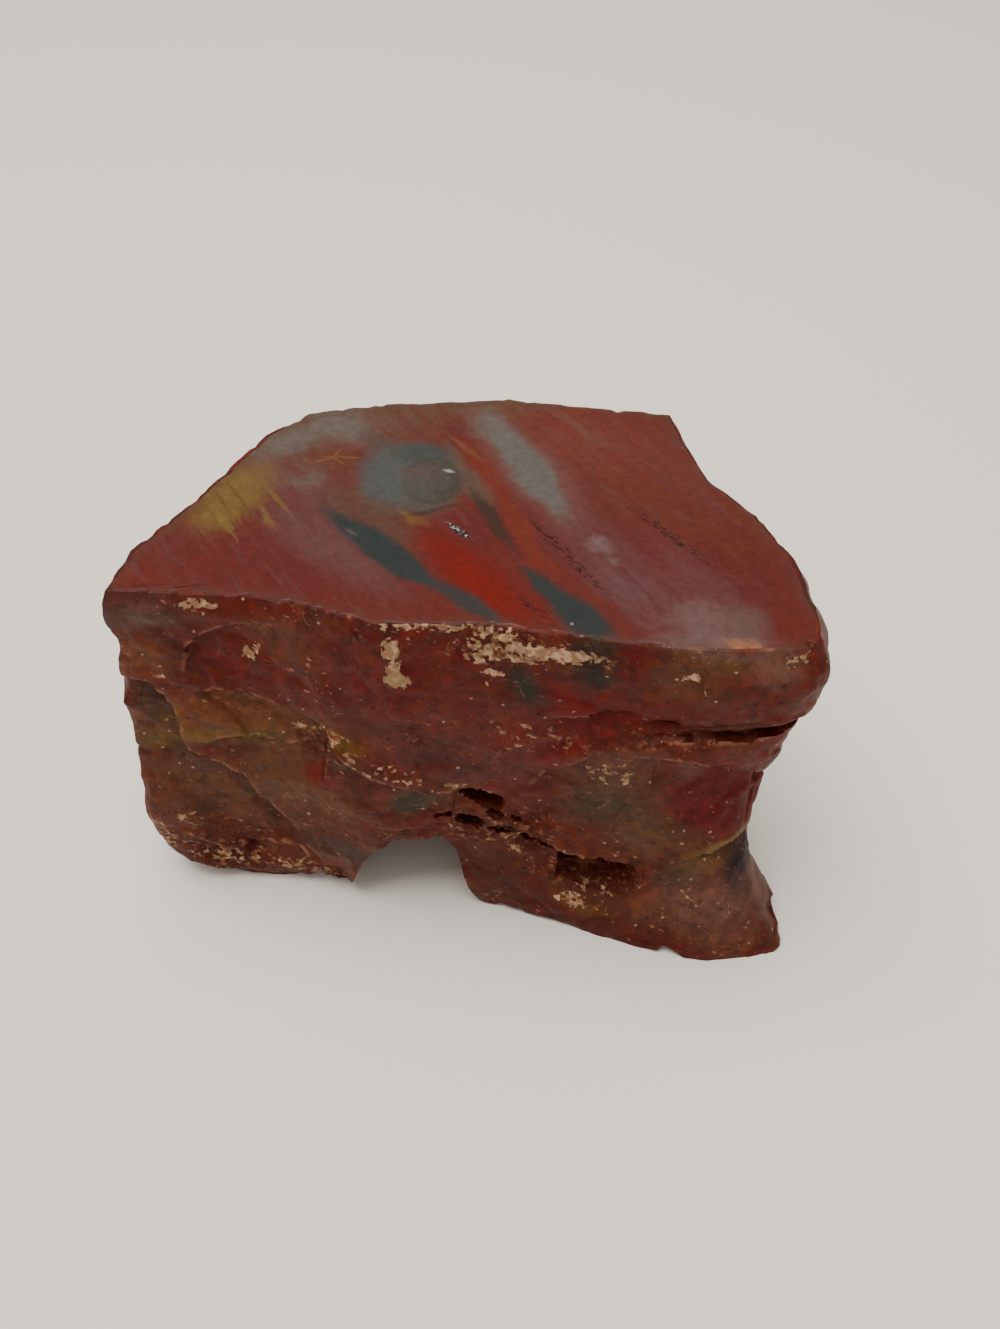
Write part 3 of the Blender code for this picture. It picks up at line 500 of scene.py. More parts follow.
def facets(points, size, seed, crispness=30.0):
    """Flat chips about size across, each with its own tilt and level. Near seed points share the say, the nearest
    most, and the crispness says how sharply they meet."""
    scaled = points / size
    corner = np.floor(scaled).astype(np.int64)
    total = np.zeros(len(points))
    weight = np.zeros(len(points))
    for step in np.ndindex(3, 3, 3):
        cell = corner + np.array(step) - 1
        seat = cell + np.stack([lattice(cell, seed + k) for k in range(3)], axis=1)
        away = scaled - seat
        tilt = np.stack([lattice(cell, seed + 3 + k) for k in range(3)], axis=1) * 2.0 - 1.0
        level = lattice(cell, seed + 6) * 2.0 - 1.0
        share = np.exp(-crispness * np.sum(away * away, axis=1))
        total += share * (0.55 * level + np.sum(tilt * away, axis=1))
        weight += share
    return total / np.maximum(weight, 1e-12)


def eased(profile, at, top, window=5.0):
    """A profile of straight runs read at a height, with its corners eased over the window."""
    heights = np.arange(-10.0, top + 10.0, 0.5)
    runs = np.interp(heights, [p[0] for p in profile], [p[1] for p in profile])
    count = int(window / 0.5)
    padded = np.pad(runs, count, mode="edge")
    smooth = np.convolve(padded, np.ones(count) / count, mode="same")[count:-count]
    return np.interp(at, heights, smooth)


def closed_rim(front_step, hidden_step):
    """Points along the rim, closest on the front, the same with rounded corners, and the eased outward direction."""
    corners = np.array(RIM + RIM[:1])
    lengths = np.hypot(*np.diff(corners, axis=0).T)
    along = np.concatenate([[0.0], np.cumsum(lengths)])
    front_end = along[FRONT_CORNERS]
    trial = np.linspace(0.0, front_end, 2000)
    closeness = np.ones(len(trial))
    trial_x = np.interp(trial, along, corners[:, 0])
    for start, end, times in CLOSE_COLUMNS:
        closeness[(trial_x > start) & (trial_x < end)] = times
    counted = np.concatenate([[0.0], np.cumsum(closeness[1:] * np.diff(trial) / front_step)])
    front = np.interp(np.linspace(0.0, counted[-1], round(counted[-1]), endpoint=False), counted, trial)
    hidden = np.linspace(front_end, along[-1], round((along[-1] - front_end) / hidden_step), endpoint=False)
    at = np.concatenate([front, hidden])
    points = np.stack([np.interp(at, along, corners[:, k]) for k in range(2)], axis=1)
    ahead = (at[:, None] + np.linspace(-CORNER_ROUNDING, CORNER_ROUNDING, 15)) % along[-1]
    rounded = np.stack([np.interp(ahead, along, corners[:, k]).mean(axis=1) for k in range(2)], axis=1)
    leg = np.searchsorted(along, ahead, side="right") - 1
    run = (corners[1:] - corners[:-1])[leg] / lengths[leg][..., None]
    outwards = np.stack([run[..., 1], -run[..., 0]], axis=-1).sum(axis=1)
    return points, rounded, outwards / np.linalg.norm(outwards, axis=1)[:, None]


def underside(x, y):
    """Height of the underside: a rough floor, flat where it touches the ground, with the arch at the front."""
    flat = np.stack([x, y, np.zeros_like(x)], axis=-1).reshape(-1, 3)
    relief = UNDERSIDE_RELIEF * (0.5 + 0.5 * swell(flat, 17.0, 91) + 0.3 * facets(flat, 9.0, 92)).reshape(x.shape)
    relief = np.maximum(relief, 0.0)
    for (foot_x, foot_y), radius in FEET:
        away = np.hypot(x - foot_x, y - foot_y) / radius
        relief = relief * np.clip((away - FOOT_FLAT_SHARE) / 0.5, 0.0, 1.0)
    inwards = np.clip((y - ARCH_FRONT) / ARCH_DEPTH, 0.0, 1.0)
    arch = np.interp(x, [p[0] for p in ARCH_EDGE], [p[1] for p in ARCH_EDGE]) * np.sqrt(1.0 - inwards**2)
    arch = arch * (1.0 + ROOF_ROUGHNESS * swell(flat, 8.0, 95).reshape(x.shape) * np.minimum(inwards * 4.0, 1.0))
    return np.maximum(relief, arch)


def facing(component):
    """How far a profile counts for a column whose outward direction has this component along the profile's axis."""
    return np.clip(component * CORNER_SPREAD, 0.0, 1.0)


def front_share(x, y):
    """How much a column belongs to the front: 1 on the front face, fading over the first stretch of both sides."""
    start, end = RIM[0], RIM[FRONT_CORNERS]
    behind = y - np.interp(x, [start[0], end[0]], [start[1], end[1]]) - FRONT_BULGE
    return np.clip(1.0 - behind / FRONT_FADE, 0.0, 1.0)


def path_gap(x, z, path):
    """Distance to a path, the side of it (above zero on the left hand), and the distance run from its nearer end."""
    nearest = np.full(x.shape, 1e9)
    side = np.zeros(x.shape)
    passed = np.zeros(x.shape)
    length = 0.0
    for (x0, z0), (x1, z1) in zip(path, path[1:]):
        run_x, run_z = x1 - x0, z1 - z0
        leg = math.hypot(run_x, run_z)
        share = np.clip(((x - x0) * run_x + (z - z0) * run_z) / leg**2, 0.0, 1.0)
        gap_x, gap_z = x - x0 - share * run_x, z - z0 - share * run_z
        gap = np.hypot(gap_x, gap_z)
        closer = gap < nearest
        nearest = np.where(closer, gap, nearest)
        side = np.where(closer, run_x * gap_z - run_z * gap_x, side)
        passed = np.where(closer, length + share * leg, passed)
        length += leg
    return nearest, side, np.minimum(passed, length - passed)


def scars(x, z):
    """Depth of the flake scars, each falling off from its edge with faint ripples, the share of crest along the
    edges, where a pale line with a painted highlight goes, and the share of painted shade under them."""
    depth = np.zeros(x.shape)
    crest = np.zeros(x.shape)
    recess_shade = np.zeros(x.shape)
    for path, drop, reach in SCARS:
        gap, side, run = path_gap(x, z, path)
        ends = np.clip(run / SCAR_ENDS, 0.0, 1.0)
        step = np.clip(gap / SCAR_STEP, 0.0, 1.0)
        ripple = RIPPLE_HEIGHT * np.sin(gap * RIPPLE_PACE + 0.4 * np.sin(run * 0.3)) * np.exp(-gap / RIPPLE_REACH)
        depth = np.maximum(depth, ends * step * (drop * np.exp(-((gap / reach) ** 2)) + ripple) * (side > 0.0))
        crest = np.maximum(crest, ends * np.exp(-((gap / CREST_WIDTH) ** 2)))
        recess_shade = np.maximum(recess_shade, ends * min(drop / RECESS_SHADE_FULL, 1.0) * np.exp(-gap / RECESS_SHADE_WIDTH) * (side > 0.0))
    return depth, crest, recess_shade


def leaning(x, z, middle_x, middle_z, half_width, half_height, lean):
    """Where a place lies in an oval on the front that leans by some degrees, across and upwards in half sizes."""
    turn = math.radians(lean)
    right, up = x - middle_x, z - middle_z
    across = (right * math.cos(turn) + up * math.sin(turn)) / half_width
    return across, (up * math.cos(turn) - right * math.sin(turn)) / half_height


def openings(x, z, points):
    """Depth of the cracks, as wedges along their paths, and of the holes, as knobbly bowls. A bowl's outline is an
    oval at the power 2 and squarer above it."""
    depth = np.zeros(x.shape)
    for path, half_opening, crack_depth in CRACKS:
        gap, _, run = path_gap(x, z, path)
        taper = np.clip(run / SCAR_ENDS, 0.0, 1.0)
        wedge = np.clip(CRACK_REACH - gap / (half_opening * taper + 0.05), 0.0, 1.0)
        depth = np.maximum(depth, crack_depth * taper * wedge)
    knob = sum((share * swell(points, size, seed).reshape(x.shape) for size, share, seed in KNOBS), 1.0)
    for *oval, hole_depth, power in HOLES:
        across, upwards = leaning(x, z, *oval)
        away = (np.abs(across) ** power + np.abs(upwards) ** power) * knob
        depth = np.maximum(depth, hole_depth * np.sqrt(np.clip(1.0 - away, 0.0, 1.0)))
    return depth


def crumbliness(x, z, points):
    """Share of crumbly rock at each place: soft-edged ovals on the front, broken up by noise."""
    share = np.zeros(x.shape)
    for middle_x, middle_z, half_width, half_height in CRUMBLY:
        away = np.hypot((x - middle_x) / half_width, (z - middle_z) / half_height)
        share = np.maximum(share, np.clip(CRUMBLY_REACH - away, 0.0, 1.0))
    return share * np.clip(0.85 + swell(points, 6.0, 111).reshape(x.shape), 0.0, 1.0)


def crusting(x, z):
    """How solid the crust is at each place: soft-edged ovals on the front."""
    share = np.zeros(x.shape)
    for *oval, solidity in CRUSTS:
        away = np.hypot(*leaning(x + CENTRING[0], z, *oval))
        share = np.maximum(share, solidity * np.clip(CRUST_REACH - away, 0.0, 1.0))
    return share


def rim_nicks(points):
    """How far each place of the rim has lost stone: rare broad nicks and frequent small ones, as a share of depth."""
    broad = np.clip(swell(points, BROAD_NICK, 131) - NICK_RARITY, 0.0, 1.0)
    small = np.clip(facets(points, SMALL_NICK, 132), 0.0, 1.0)
    return np.clip(0.9 * broad + 0.45 * small, 0.0, 1.0)


def wall_rows(height, rows, foot):
    """How far down each row of the walls is, from 0 at the rim to 1, and its height at each column: level down to
    the knee, then squeezed between the knee and the underside."""
    down = (np.linspace(0.0, 1.0, rows) ** WALL_CROWDING)[:, None]
    level = height * (1.0 - down)
    squeezed = foot[None, :] + (KNEE_HEIGHT - foot)[None, :] * level / KNEE_HEIGHT
    return down, np.where(level > KNEE_HEIGHT, level, squeezed)


def plain_walls(height, rim, rounded, outwards, down, z):
    """The walls without relief: the rim's point, rounded at the corners further down, and moved out by the eased
    profiles of the sides that its column faces. Three profiles share the front, and the foot flares at the right."""
    softening = np.clip(down * ROUNDING_PACE, 0.0, 1.0)
    rim_x, rim_y = (rim[:, k] + (rounded - rim)[:, k] * softening for k in range(2))
    left, right, back = (eased(p, z, height) for p in (LEFT_PROFILE, RIGHT_PROFILE, BACK_PROFILE))
    fronts = [eased(p, z, height) for p in FRONT_PROFILES]
    share = np.interp(rim[:, 0], FRONT_STATIONS, [0.0, 1.0, 2.0])[None, :]
    front = np.where(share < 1.0, fronts[0] + (fronts[1] - fronts[0]) * share,
                     fronts[1] + (fronts[2] - fronts[1]) * (share - 1.0))
    out_x, out_y = outwards[:, 0][None, :], outwards[:, 1][None, :]
    toe = eased(RIGHT_FOOT_PROFILE, z, height) * np.interp(rim_y, FOOT_STATIONS, [1.0, 0.0])
    x = rim_x + (right + toe) * facing(out_x) - left * facing(-out_x)
    y = rim_y + back * facing(out_y) - front * facing(-out_y)
    return np.stack([x, y, z], axis=2)


def top_rings(middle, rim, outwards, nicks):
    """Rings of the polished top, from its middle outwards: shares of the way to a band inside the rim, the band,
    and the insets, all drawn back where the rim is nicked."""
    level = np.full(len(rim), middle[2])
    rings = [np.column_stack([rim - outwards * (inset + nicks[:, None]), level]) for inset in TOP_INSETS]
    inner = middle[:2] - rim
    inner = inner / np.linalg.norm(inner, axis=1)[:, None]
    slant = np.maximum(-np.sum(inner * outwards, axis=1), 0.5)
    band = np.column_stack([rim + inner * ((RIM_BAND + nicks) / slant)[:, None], level])
    return [middle + (band - middle) * share for share in TOP_SHARES] + [band] + rings[::-1]


def underside_rings(edge, count):
    """Rings of the underside from the walls' lowest row to its middle, each point at the underside's height."""
    inwards = np.linspace(0.0, 1.0, count + 1)[1:-1, None] ** UNDERSIDE_CROWDING
    x, y = (edge[:, k] + (UNDERSIDE_MIDDLE[k] - edge[:, k]) * inwards for k in range(2))
    return np.stack([x, y, underside(x, y)], axis=2)


def block_surface(shape):
    """The block as rings of points with values for its materials.

    The first parameter runs round the block and the second from the middle of the top, over the rim and down the
    walls to the middle of the underside. A point of the plain walls is moved out by the chips and crumbs, in by the
    scars, cracks and holes, and down where the rim is worn.
    """
    height = shape.height / MM
    rim, rounded, outwards = closed_rim(shape.front_step / MM, shape.hidden_step / MM)
    nicks = rim_nicks(np.column_stack([rim, np.full(len(rim), height)])) * shape.nick_depth / MM
    down, z = wall_rows(height, shape.wall_rows, underside(rim[:, 0], rim[:, 1]))
    points = plain_walls(height, rim, rounded, outwards, down, z)
    x = points[..., 0].copy()
    flat = points.reshape(-1, 3)

    front_weight = front_share(rim[:, 0], rim[:, 1])[None, :]
    fading = np.clip(down * RELIEF_PACE, RIM_RELIEF, 1.0) * np.clip(z / RELIEF_HEIGHT, GROUND_RELIEF, 1.0)
    size, rise, seed = SWELL
    swelling = rise * swell(flat, size, seed)
    large = sum(rise * facets(flat, size, seed) for size, rise, seed in CHIPS) + swelling
    fine = sum(rise * facets(flat, size, seed, FINE_CREASES) for size, rise, seed in FINE_CHIPS).reshape(x.shape)
    crumbly = crumbliness(x, z, flat) * front_weight
    crumbs = swell(flat, CRUMB_SIZE, 141) + 0.6 * swell(flat, CRUMB_SIZE / 2.0, 142)
    crumbs = crumbs.reshape(x.shape) * shape.crumb_height / MM
    rise = large.reshape(x.shape) * (1.0 - FRONT_CALM * front_weight) * fading
    rise = rise + (fine * (0.55 + 0.45 * fading) + crumbs * crumbly) * np.clip(down * FINE_PACE, FINE_LEAST, 1.0)
    rise = rise - nicks[None, :] * np.exp(-(height - z) / NICK_REACH)
    scar, crest, recess_shade = scars(x, z)
    # The rim's row is a crest too: a pale line along the rim with a painted highlight
    crest[0] = 1.0
    opening = openings(x, z, flat) * (front_weight > FULL_FRONT)
    points[..., 0] += rise * outwards[:, 0]
    points[..., 1] += rise * outwards[:, 1] + scar * front_weight * fading + opening
    points[..., 2] -= (shape.rim_bevel / MM + 0.5 * nicks[None, :]) * np.exp(-(height - z) / BEVEL_REACH)
    points[..., 2] -= HOLE_SINK * opening
    points[..., 2] = np.maximum(points[..., 2], 0.0)

    middle = np.array([*UNDERSIDE_MIDDLE, height])
    top = top_rings(middle, rim, outwards, nicks)
    below = underside_rings(points[-1], shape.underside_rows)
    rings = np.concatenate([np.array(top), points, below])
    rim_share = np.zeros(len(rings))
    rim_share[len(top) - 2 : len(top) + 1] = RIM_VALUES
    walls = {"crest": crest * front_weight, "recess_shade": recess_shade * front_weight,
             "hollow": np.clip(opening / SHADE_DEPTH, 0.0, 1.0), "crumbly": crumbly,
             "crust": crusting(x, z) * front_weight}
    blank_top, blank_below = np.zeros((len(top), len(rim))), np.zeros((len(below), len(rim)))
    values = {"rim": np.repeat(rim_share[:, None], len(rim), axis=1)}
    values.update((name, np.concatenate([blank_top, wall, blank_below])) for name, wall in walls.items())
    bottom = np.array([*UNDERSIDE_MIDDLE, underside(*(np.array([c]) for c in UNDERSIDE_MIDDLE))[0]])
    return rings, values, middle, bottom, len(top)


def block_mesh(shape):
    """Quads between the rings and a fan at each pole, top first: the faces above the rim are the polished ones."""
    rings, values, top_middle, bottom_middle, top_count = block_surface(shape)
    rows, columns = rings.shape[:2]
    shift = np.array([*CENTRING, 0.0])
    points = (np.concatenate([rings.reshape(-1, 3), [top_middle, bottom_middle]]) + shift) * MM
    number = np.arange(rows * columns).reshape(rows, columns)
    behind = np.roll(number, 1, axis=1)
    quads = np.stack([behind[:-1], behind[1:], number[1:], number[:-1]], axis=-1).reshape(-1, 4)
    top_pole, bottom_pole = rows * columns, rows * columns + 1
    cap = np.stack([np.full(columns, top_pole), behind[0], number[0]], axis=1)
    base = np.stack([behind[-1], np.full(columns, bottom_pole), number[-1]], axis=1)
    mesh = bpy.data.meshes.new(PIECE)
    mesh.from_pydata(points.tolist(), [], quads.tolist() + cap.tolist() + base.tolist())
    slots = np.ones(len(quads) + 2 * columns, dtype=np.int32)
    slots[: (top_count - 1) * columns] = 0
    slots[len(quads) : len(quads) + columns] = 0
    mesh.polygons.foreach_set("material_index", slots)
    mesh.polygons.foreach_set("use_smooth", np.ones(len(slots), dtype=bool))
    for name, value in values.items():
        attribute = mesh.attributes.new(name, "FLOAT", "POINT")
        attribute.data.foreach_set("value", np.concatenate([value.ravel(), [0.0, 0.0]]).astype(np.float32))
    mesh.update()
    mesh.set_sharp_from_angle(angle=math.radians(SHARP_ANGLE))
    return mesh


def node(tree, kind, inputs=(), **settings):
    """Adds a node with its settings. inputs gives a socket's name or number and its value or what it is linked to."""
    made = tree.nodes.new(kind)
    for key, value in settings.items():
        setattr(made, key, value)
    for key, value in dict(inputs).items():
        if isinstance(value, bpy.types.NodeSocket):
            tree.links.new(value, made.inputs[key])
        else:
            made.inputs[key].default_value = value
    return made


def combined(tree, operation, first, second=0.0, third=0.0):
    """The result of a sum of up to three values."""
    return node(tree, "ShaderNodeMath", {0: first, 1: second, 2: third}, operation=operation).outputs[0]


def product(tree, first, second):
    """The two values multiplied."""
    return combined(tree, "MULTIPLY", first, second)


def stretched(tree, value, low, high, to_low=0.0, to_high=1.0):
    """A value between low and high moved to the other two, and kept within them."""
    return node(tree, "ShaderNodeMapRange", {"Value": value, "From Min": low, "From Max": high,
                                             "To Min": to_low, "To Max": to_high}).outputs[0]


def vector(tree, operation, first, second):
    """The result of a sum of two vectors, or for SCALE of a vector and a number."""
    key = "Scale" if operation == "SCALE" else 1
    return node(tree, "ShaderNodeVectorMath", {0: first, key: second}, operation=operation).outputs[0]


def noise(tree, place, size, detail, roughness=0.5):
    """The outputs of cloud noise of the given size: its value, and a colour of three such values."""
    return node(tree, "ShaderNodeTexNoise", {"Vector": place, "Scale": 1.0 / size, "Detail": detail,
                                             "Roughness": roughness}).outputs


def carried(tree, name):
    """A value that the mesh carries as an attribute."""
    return node(tree, "ShaderNodeAttribute", attribute_name=name).outputs["Fac"]


def placed_patch():
    """A group that lays one patch of colour at a place: the distance from its middle in half sizes, as an oval
    or, where it is pointed, as a diamond, falls from 1 inside to 0 outside over its softness. It works with single
    numbers all through, so that the renderer takes a long row of these groups one after the other."""
    group = bpy.data.node_groups.new("placed_patch", "ShaderNodeTree")

    def sum_of(operation, *values):
        return combined(group, operation, *values)

    for name, kind in [("Ground", "Color"), ("Colour", "Color")] + [(name, "Float") for name in PATCH_NUMBERS]:
        group.interface.new_socket(name, in_out="INPUT", socket_type="NodeSocket" + kind)
    for name, kind in [("Result", "Color"), ("Mask", "Float")]:
        group.interface.new_socket(name, in_out="OUTPUT", socket_type="NodeSocket" + kind)
    given = node(group, "NodeGroupInput").outputs
    cosine = sum_of("COSINE", given["Turn"])
    sine = sum_of("SINE", given["Turn"])
    right = sum_of("SUBTRACT", given["Across"], given["Middle across"])
    up = sum_of("SUBTRACT", given["Up"], given["Middle up"])
    along = sum_of("MULTIPLY_ADD", right, cosine, sum_of("MULTIPLY", up, sine))
    along = sum_of("DIVIDE", along, given["Half length"])
    square = sum_of("MULTIPLY_ADD", along, along, given["Depth squared"])
    beside = sum_of("SUBTRACT", sum_of("MULTIPLY", up, cosine), sum_of("MULTIPLY", right, sine))
    beside = sum_of("DIVIDE", beside, given["Half width"])
    oval = sum_of("SQRT", sum_of("MULTIPLY_ADD", beside, beside, square))
    diamond = sum_of("ADD", sum_of("ABSOLUTE", along), sum_of("ABSOLUTE", beside))
    away = node(group, "ShaderNodeMix", {0: given["Pointedness"], 2: oval, 3: diamond}).outputs[0]
    outer = sum_of("ADD", 1.0, given["Softness"])
    inner = sum_of("SUBTRACT", 1.0, given["Softness"])
    fade = node(group, "ShaderNodeMapRange", {"Value": away, "From Min": outer, "From Max": inner,
                                              "To Max": given["Strength"]},
                interpolation_type="SMOOTHSTEP").outputs[0]
    result = node(group, "ShaderNodeMix", {0: fade, 6: given["Ground"], 7: given["Colour"]},
                  data_type="RGBA").outputs[2]
    node(group, "NodeGroupOutput", {"Result": result, "Mask": fade})
    return group


def millimetres(tree):
    """Object coordinates in millimetres."""
    return vector(tree, "SCALE", node(tree, "ShaderNodeTexCoord").outputs["Object"], 1.0 / MM)


def centred_vector(tree, colour):
    """The three numbers of a noise colour as a vector round zero, and the first of them as it is. Taking the
    colour apart by nodes keeps the renderer from adding conversions of its own, which would hold more of a large
    material at once than it has room for."""
    parts = node(tree, "ShaderNodeSeparateColor", {0: colour}).outputs
    joined = node(tree, "ShaderNodeCombineXYZ", {0: parts[0], 1: parts[1], 2: parts[2]}).outputs[0]
    return vector(tree, "SUBTRACT", joined, (0.5, 0.5, 0.5)), parts[0]


def shaken(tree, place, size, reach, detail=2.0):
    """Coordinates pushed about by up to half the reach, by cloud noise of the given size."""
    centred, _ = centred_vector(tree, noise(tree, place, size, detail)[1])
    return vector(tree, "ADD", place, vector(tree, "SCALE", centred, reach))


def along_grain(tree, place, turn, length, width):
    """Coordinates counted in grain lengths along the turn and grain widths across it."""
    return node(tree, "ShaderNodeMapping", {"Vector": place, "Rotation": (0.0, 0.0, math.radians(turn)),
                                            "Scale": (length, width, width)}, vector_type="TEXTURE").outputs[0]


def streaked(tree, place, turn, length, width, reach):
    """Coordinates pushed along the grain by fine noise across it, so that edges which cross the grain turn spiky."""
    pull = noise(tree, along_grain(tree, place, turn, length, width), 1.0, 2.0)[0]
    centred = combined(tree, "SUBTRACT", pull, 0.5)
    angle = math.radians(turn)
    push = vector(tree, "SCALE", (reach * math.cos(angle), reach * math.sin(angle), 0.0), centred)
    return vector(tree, "ADD", place, push)


def cloudy(tree, place, size, low, high, detail=3.0):
    """Cloud noise of the given size, eased from 0 at its low value to 1 at its high one."""
    return node(tree, "ShaderNodeMapRange", {"Value": noise(tree, place, size, detail)[0], "From Min": low,
                                             "From Max": high}, interpolation_type="SMOOTHSTEP").outputs[0]


def blended(tree, ground, colour, mask, strength=1.0):
    """The ground with a colour laid over it where the mask says, as strongly as given."""
    return node(tree, "ShaderNodeMix", {0: product(tree, mask, strength), 6: ground, 7: colour},
                data_type="RGBA").outputs[2]


def clouded(tree, ground, colours, clouds):
    """The ground under one cloud of colour after the other: colour, coordinates, size, low, high and strength."""
    for colour, place, size, low, high, strength in clouds:
        ground = blended(tree, ground, getattr(colours, colour), cloudy(tree, place, size, low, high), strength)
    return ground


def flakes(tree, place, size, metric="EUCLIDEAN"):
    """Cells of the given size: the height of each one's own tilted face in millimetres, the distance from its
    middle in cell sizes, and a number from 0 to 1 for each."""
    cells = node(tree, "ShaderNodeTexVoronoi", {"Vector": place, "Scale": 1.0 / size}, distance=metric).outputs
    away = vector(tree, "SUBTRACT", place, cells["Position"])
    tilt, chance = centred_vector(tree, cells["Color"])
    height = node(tree, "ShaderNodeVectorMath", {0: away, 1: tilt}, operation="DOT_PRODUCT").outputs["Value"]
    return height, cells["Distance"], chance


def shaded(tree, colour, value):
    """A colour made darker or lighter, 1 leaving it as it is."""
    return node(tree, "ShaderNodeHueSaturation", {"Color": colour, "Value": value}).outputs[0]


def dotted(tree, place, size, reach, share):
    """Sparse dots: a share of cells of the given size have one, as wide as the reach in cell sizes."""
    _, away, chance = flakes(tree, place, size)
    return product(tree, stretched(tree, away, reach, 0.5 * reach), combined(tree, "LESS_THAN", chance, share))


def patch(tree, group, ground, colour, place, oval, turn, softness, pointedness, strength):
    """The ground with one patch of colour on it, and the patch's mask. The place is two numbers, across and up, and
    the square of a third distance. The oval is its middle and its half sizes."""
    numbers = (*place, *oval, math.radians(turn), softness, pointedness, strength)
    laid = node(tree, "ShaderNodeGroup", {"Ground": ground, "Colour": colour, **dict(zip(PATCH_NUMBERS, numbers))},
                node_tree=group)
    return laid.outputs["Result"], laid.outputs["Mask"]


def on_top(tree, place):
    """The two coordinates that a marking of the top is placed by."""
    parts = node(tree, "ShaderNodeSeparateXYZ", {0: place}).outputs
    return parts[0], parts[1], 0.0


def on_front(tree, place):
    """The two coordinates that a marking of the front is placed by, and the square of how many reaches behind the
    front it is."""
    parts = node(tree, "ShaderNodeSeparateXYZ", {0: place}).outputs
    behind = combined(tree, "DIVIDE", combined(tree, "SUBTRACT", parts[1], FRONT_MIDDLE_Y), FRONT_REACH_Y)
    return parts[0], parts[2], product(tree, behind, behind)


def laid_marking(tree, group, ground, colours, places, marking):
    """The ground with one marking of the top laid on it."""
    *oval, turn, softness, pointed, strength, place, colour = marking
    return patch(tree, group, ground, getattr(colours, colour), places[place], oval, turn, softness, pointed,
                 strength)[0]


def new_material(name, roughness, ior, specular):
    """A material of one Principled shader, with its node tree and the shader's inputs."""
    material = bpy.data.materials.new(name)
    material.use_nodes = True
    tree = material.node_tree
    inputs = tree.nodes["Principled BSDF"].inputs
    for socket, value in (("Roughness", roughness), ("IOR", ior), ("Specular IOR Level", specular)):
        inputs[socket].default_value = value
    return material, tree, inputs


def link_finish(tree, inputs, ground, roughness, relief):
    """Links a stone's colour, its roughness and its relief in millimetres to the shader's inputs."""
    tree.links.new(ground, inputs["Base Color"])
    bump = node(tree, "ShaderNodeBump", {"Height": relief, "Strength": 1.0, "Distance": MM}).outputs[0]
    tree.links.new(bump, inputs["Normal"])
    tree.links.new(roughness, inputs["Roughness"])


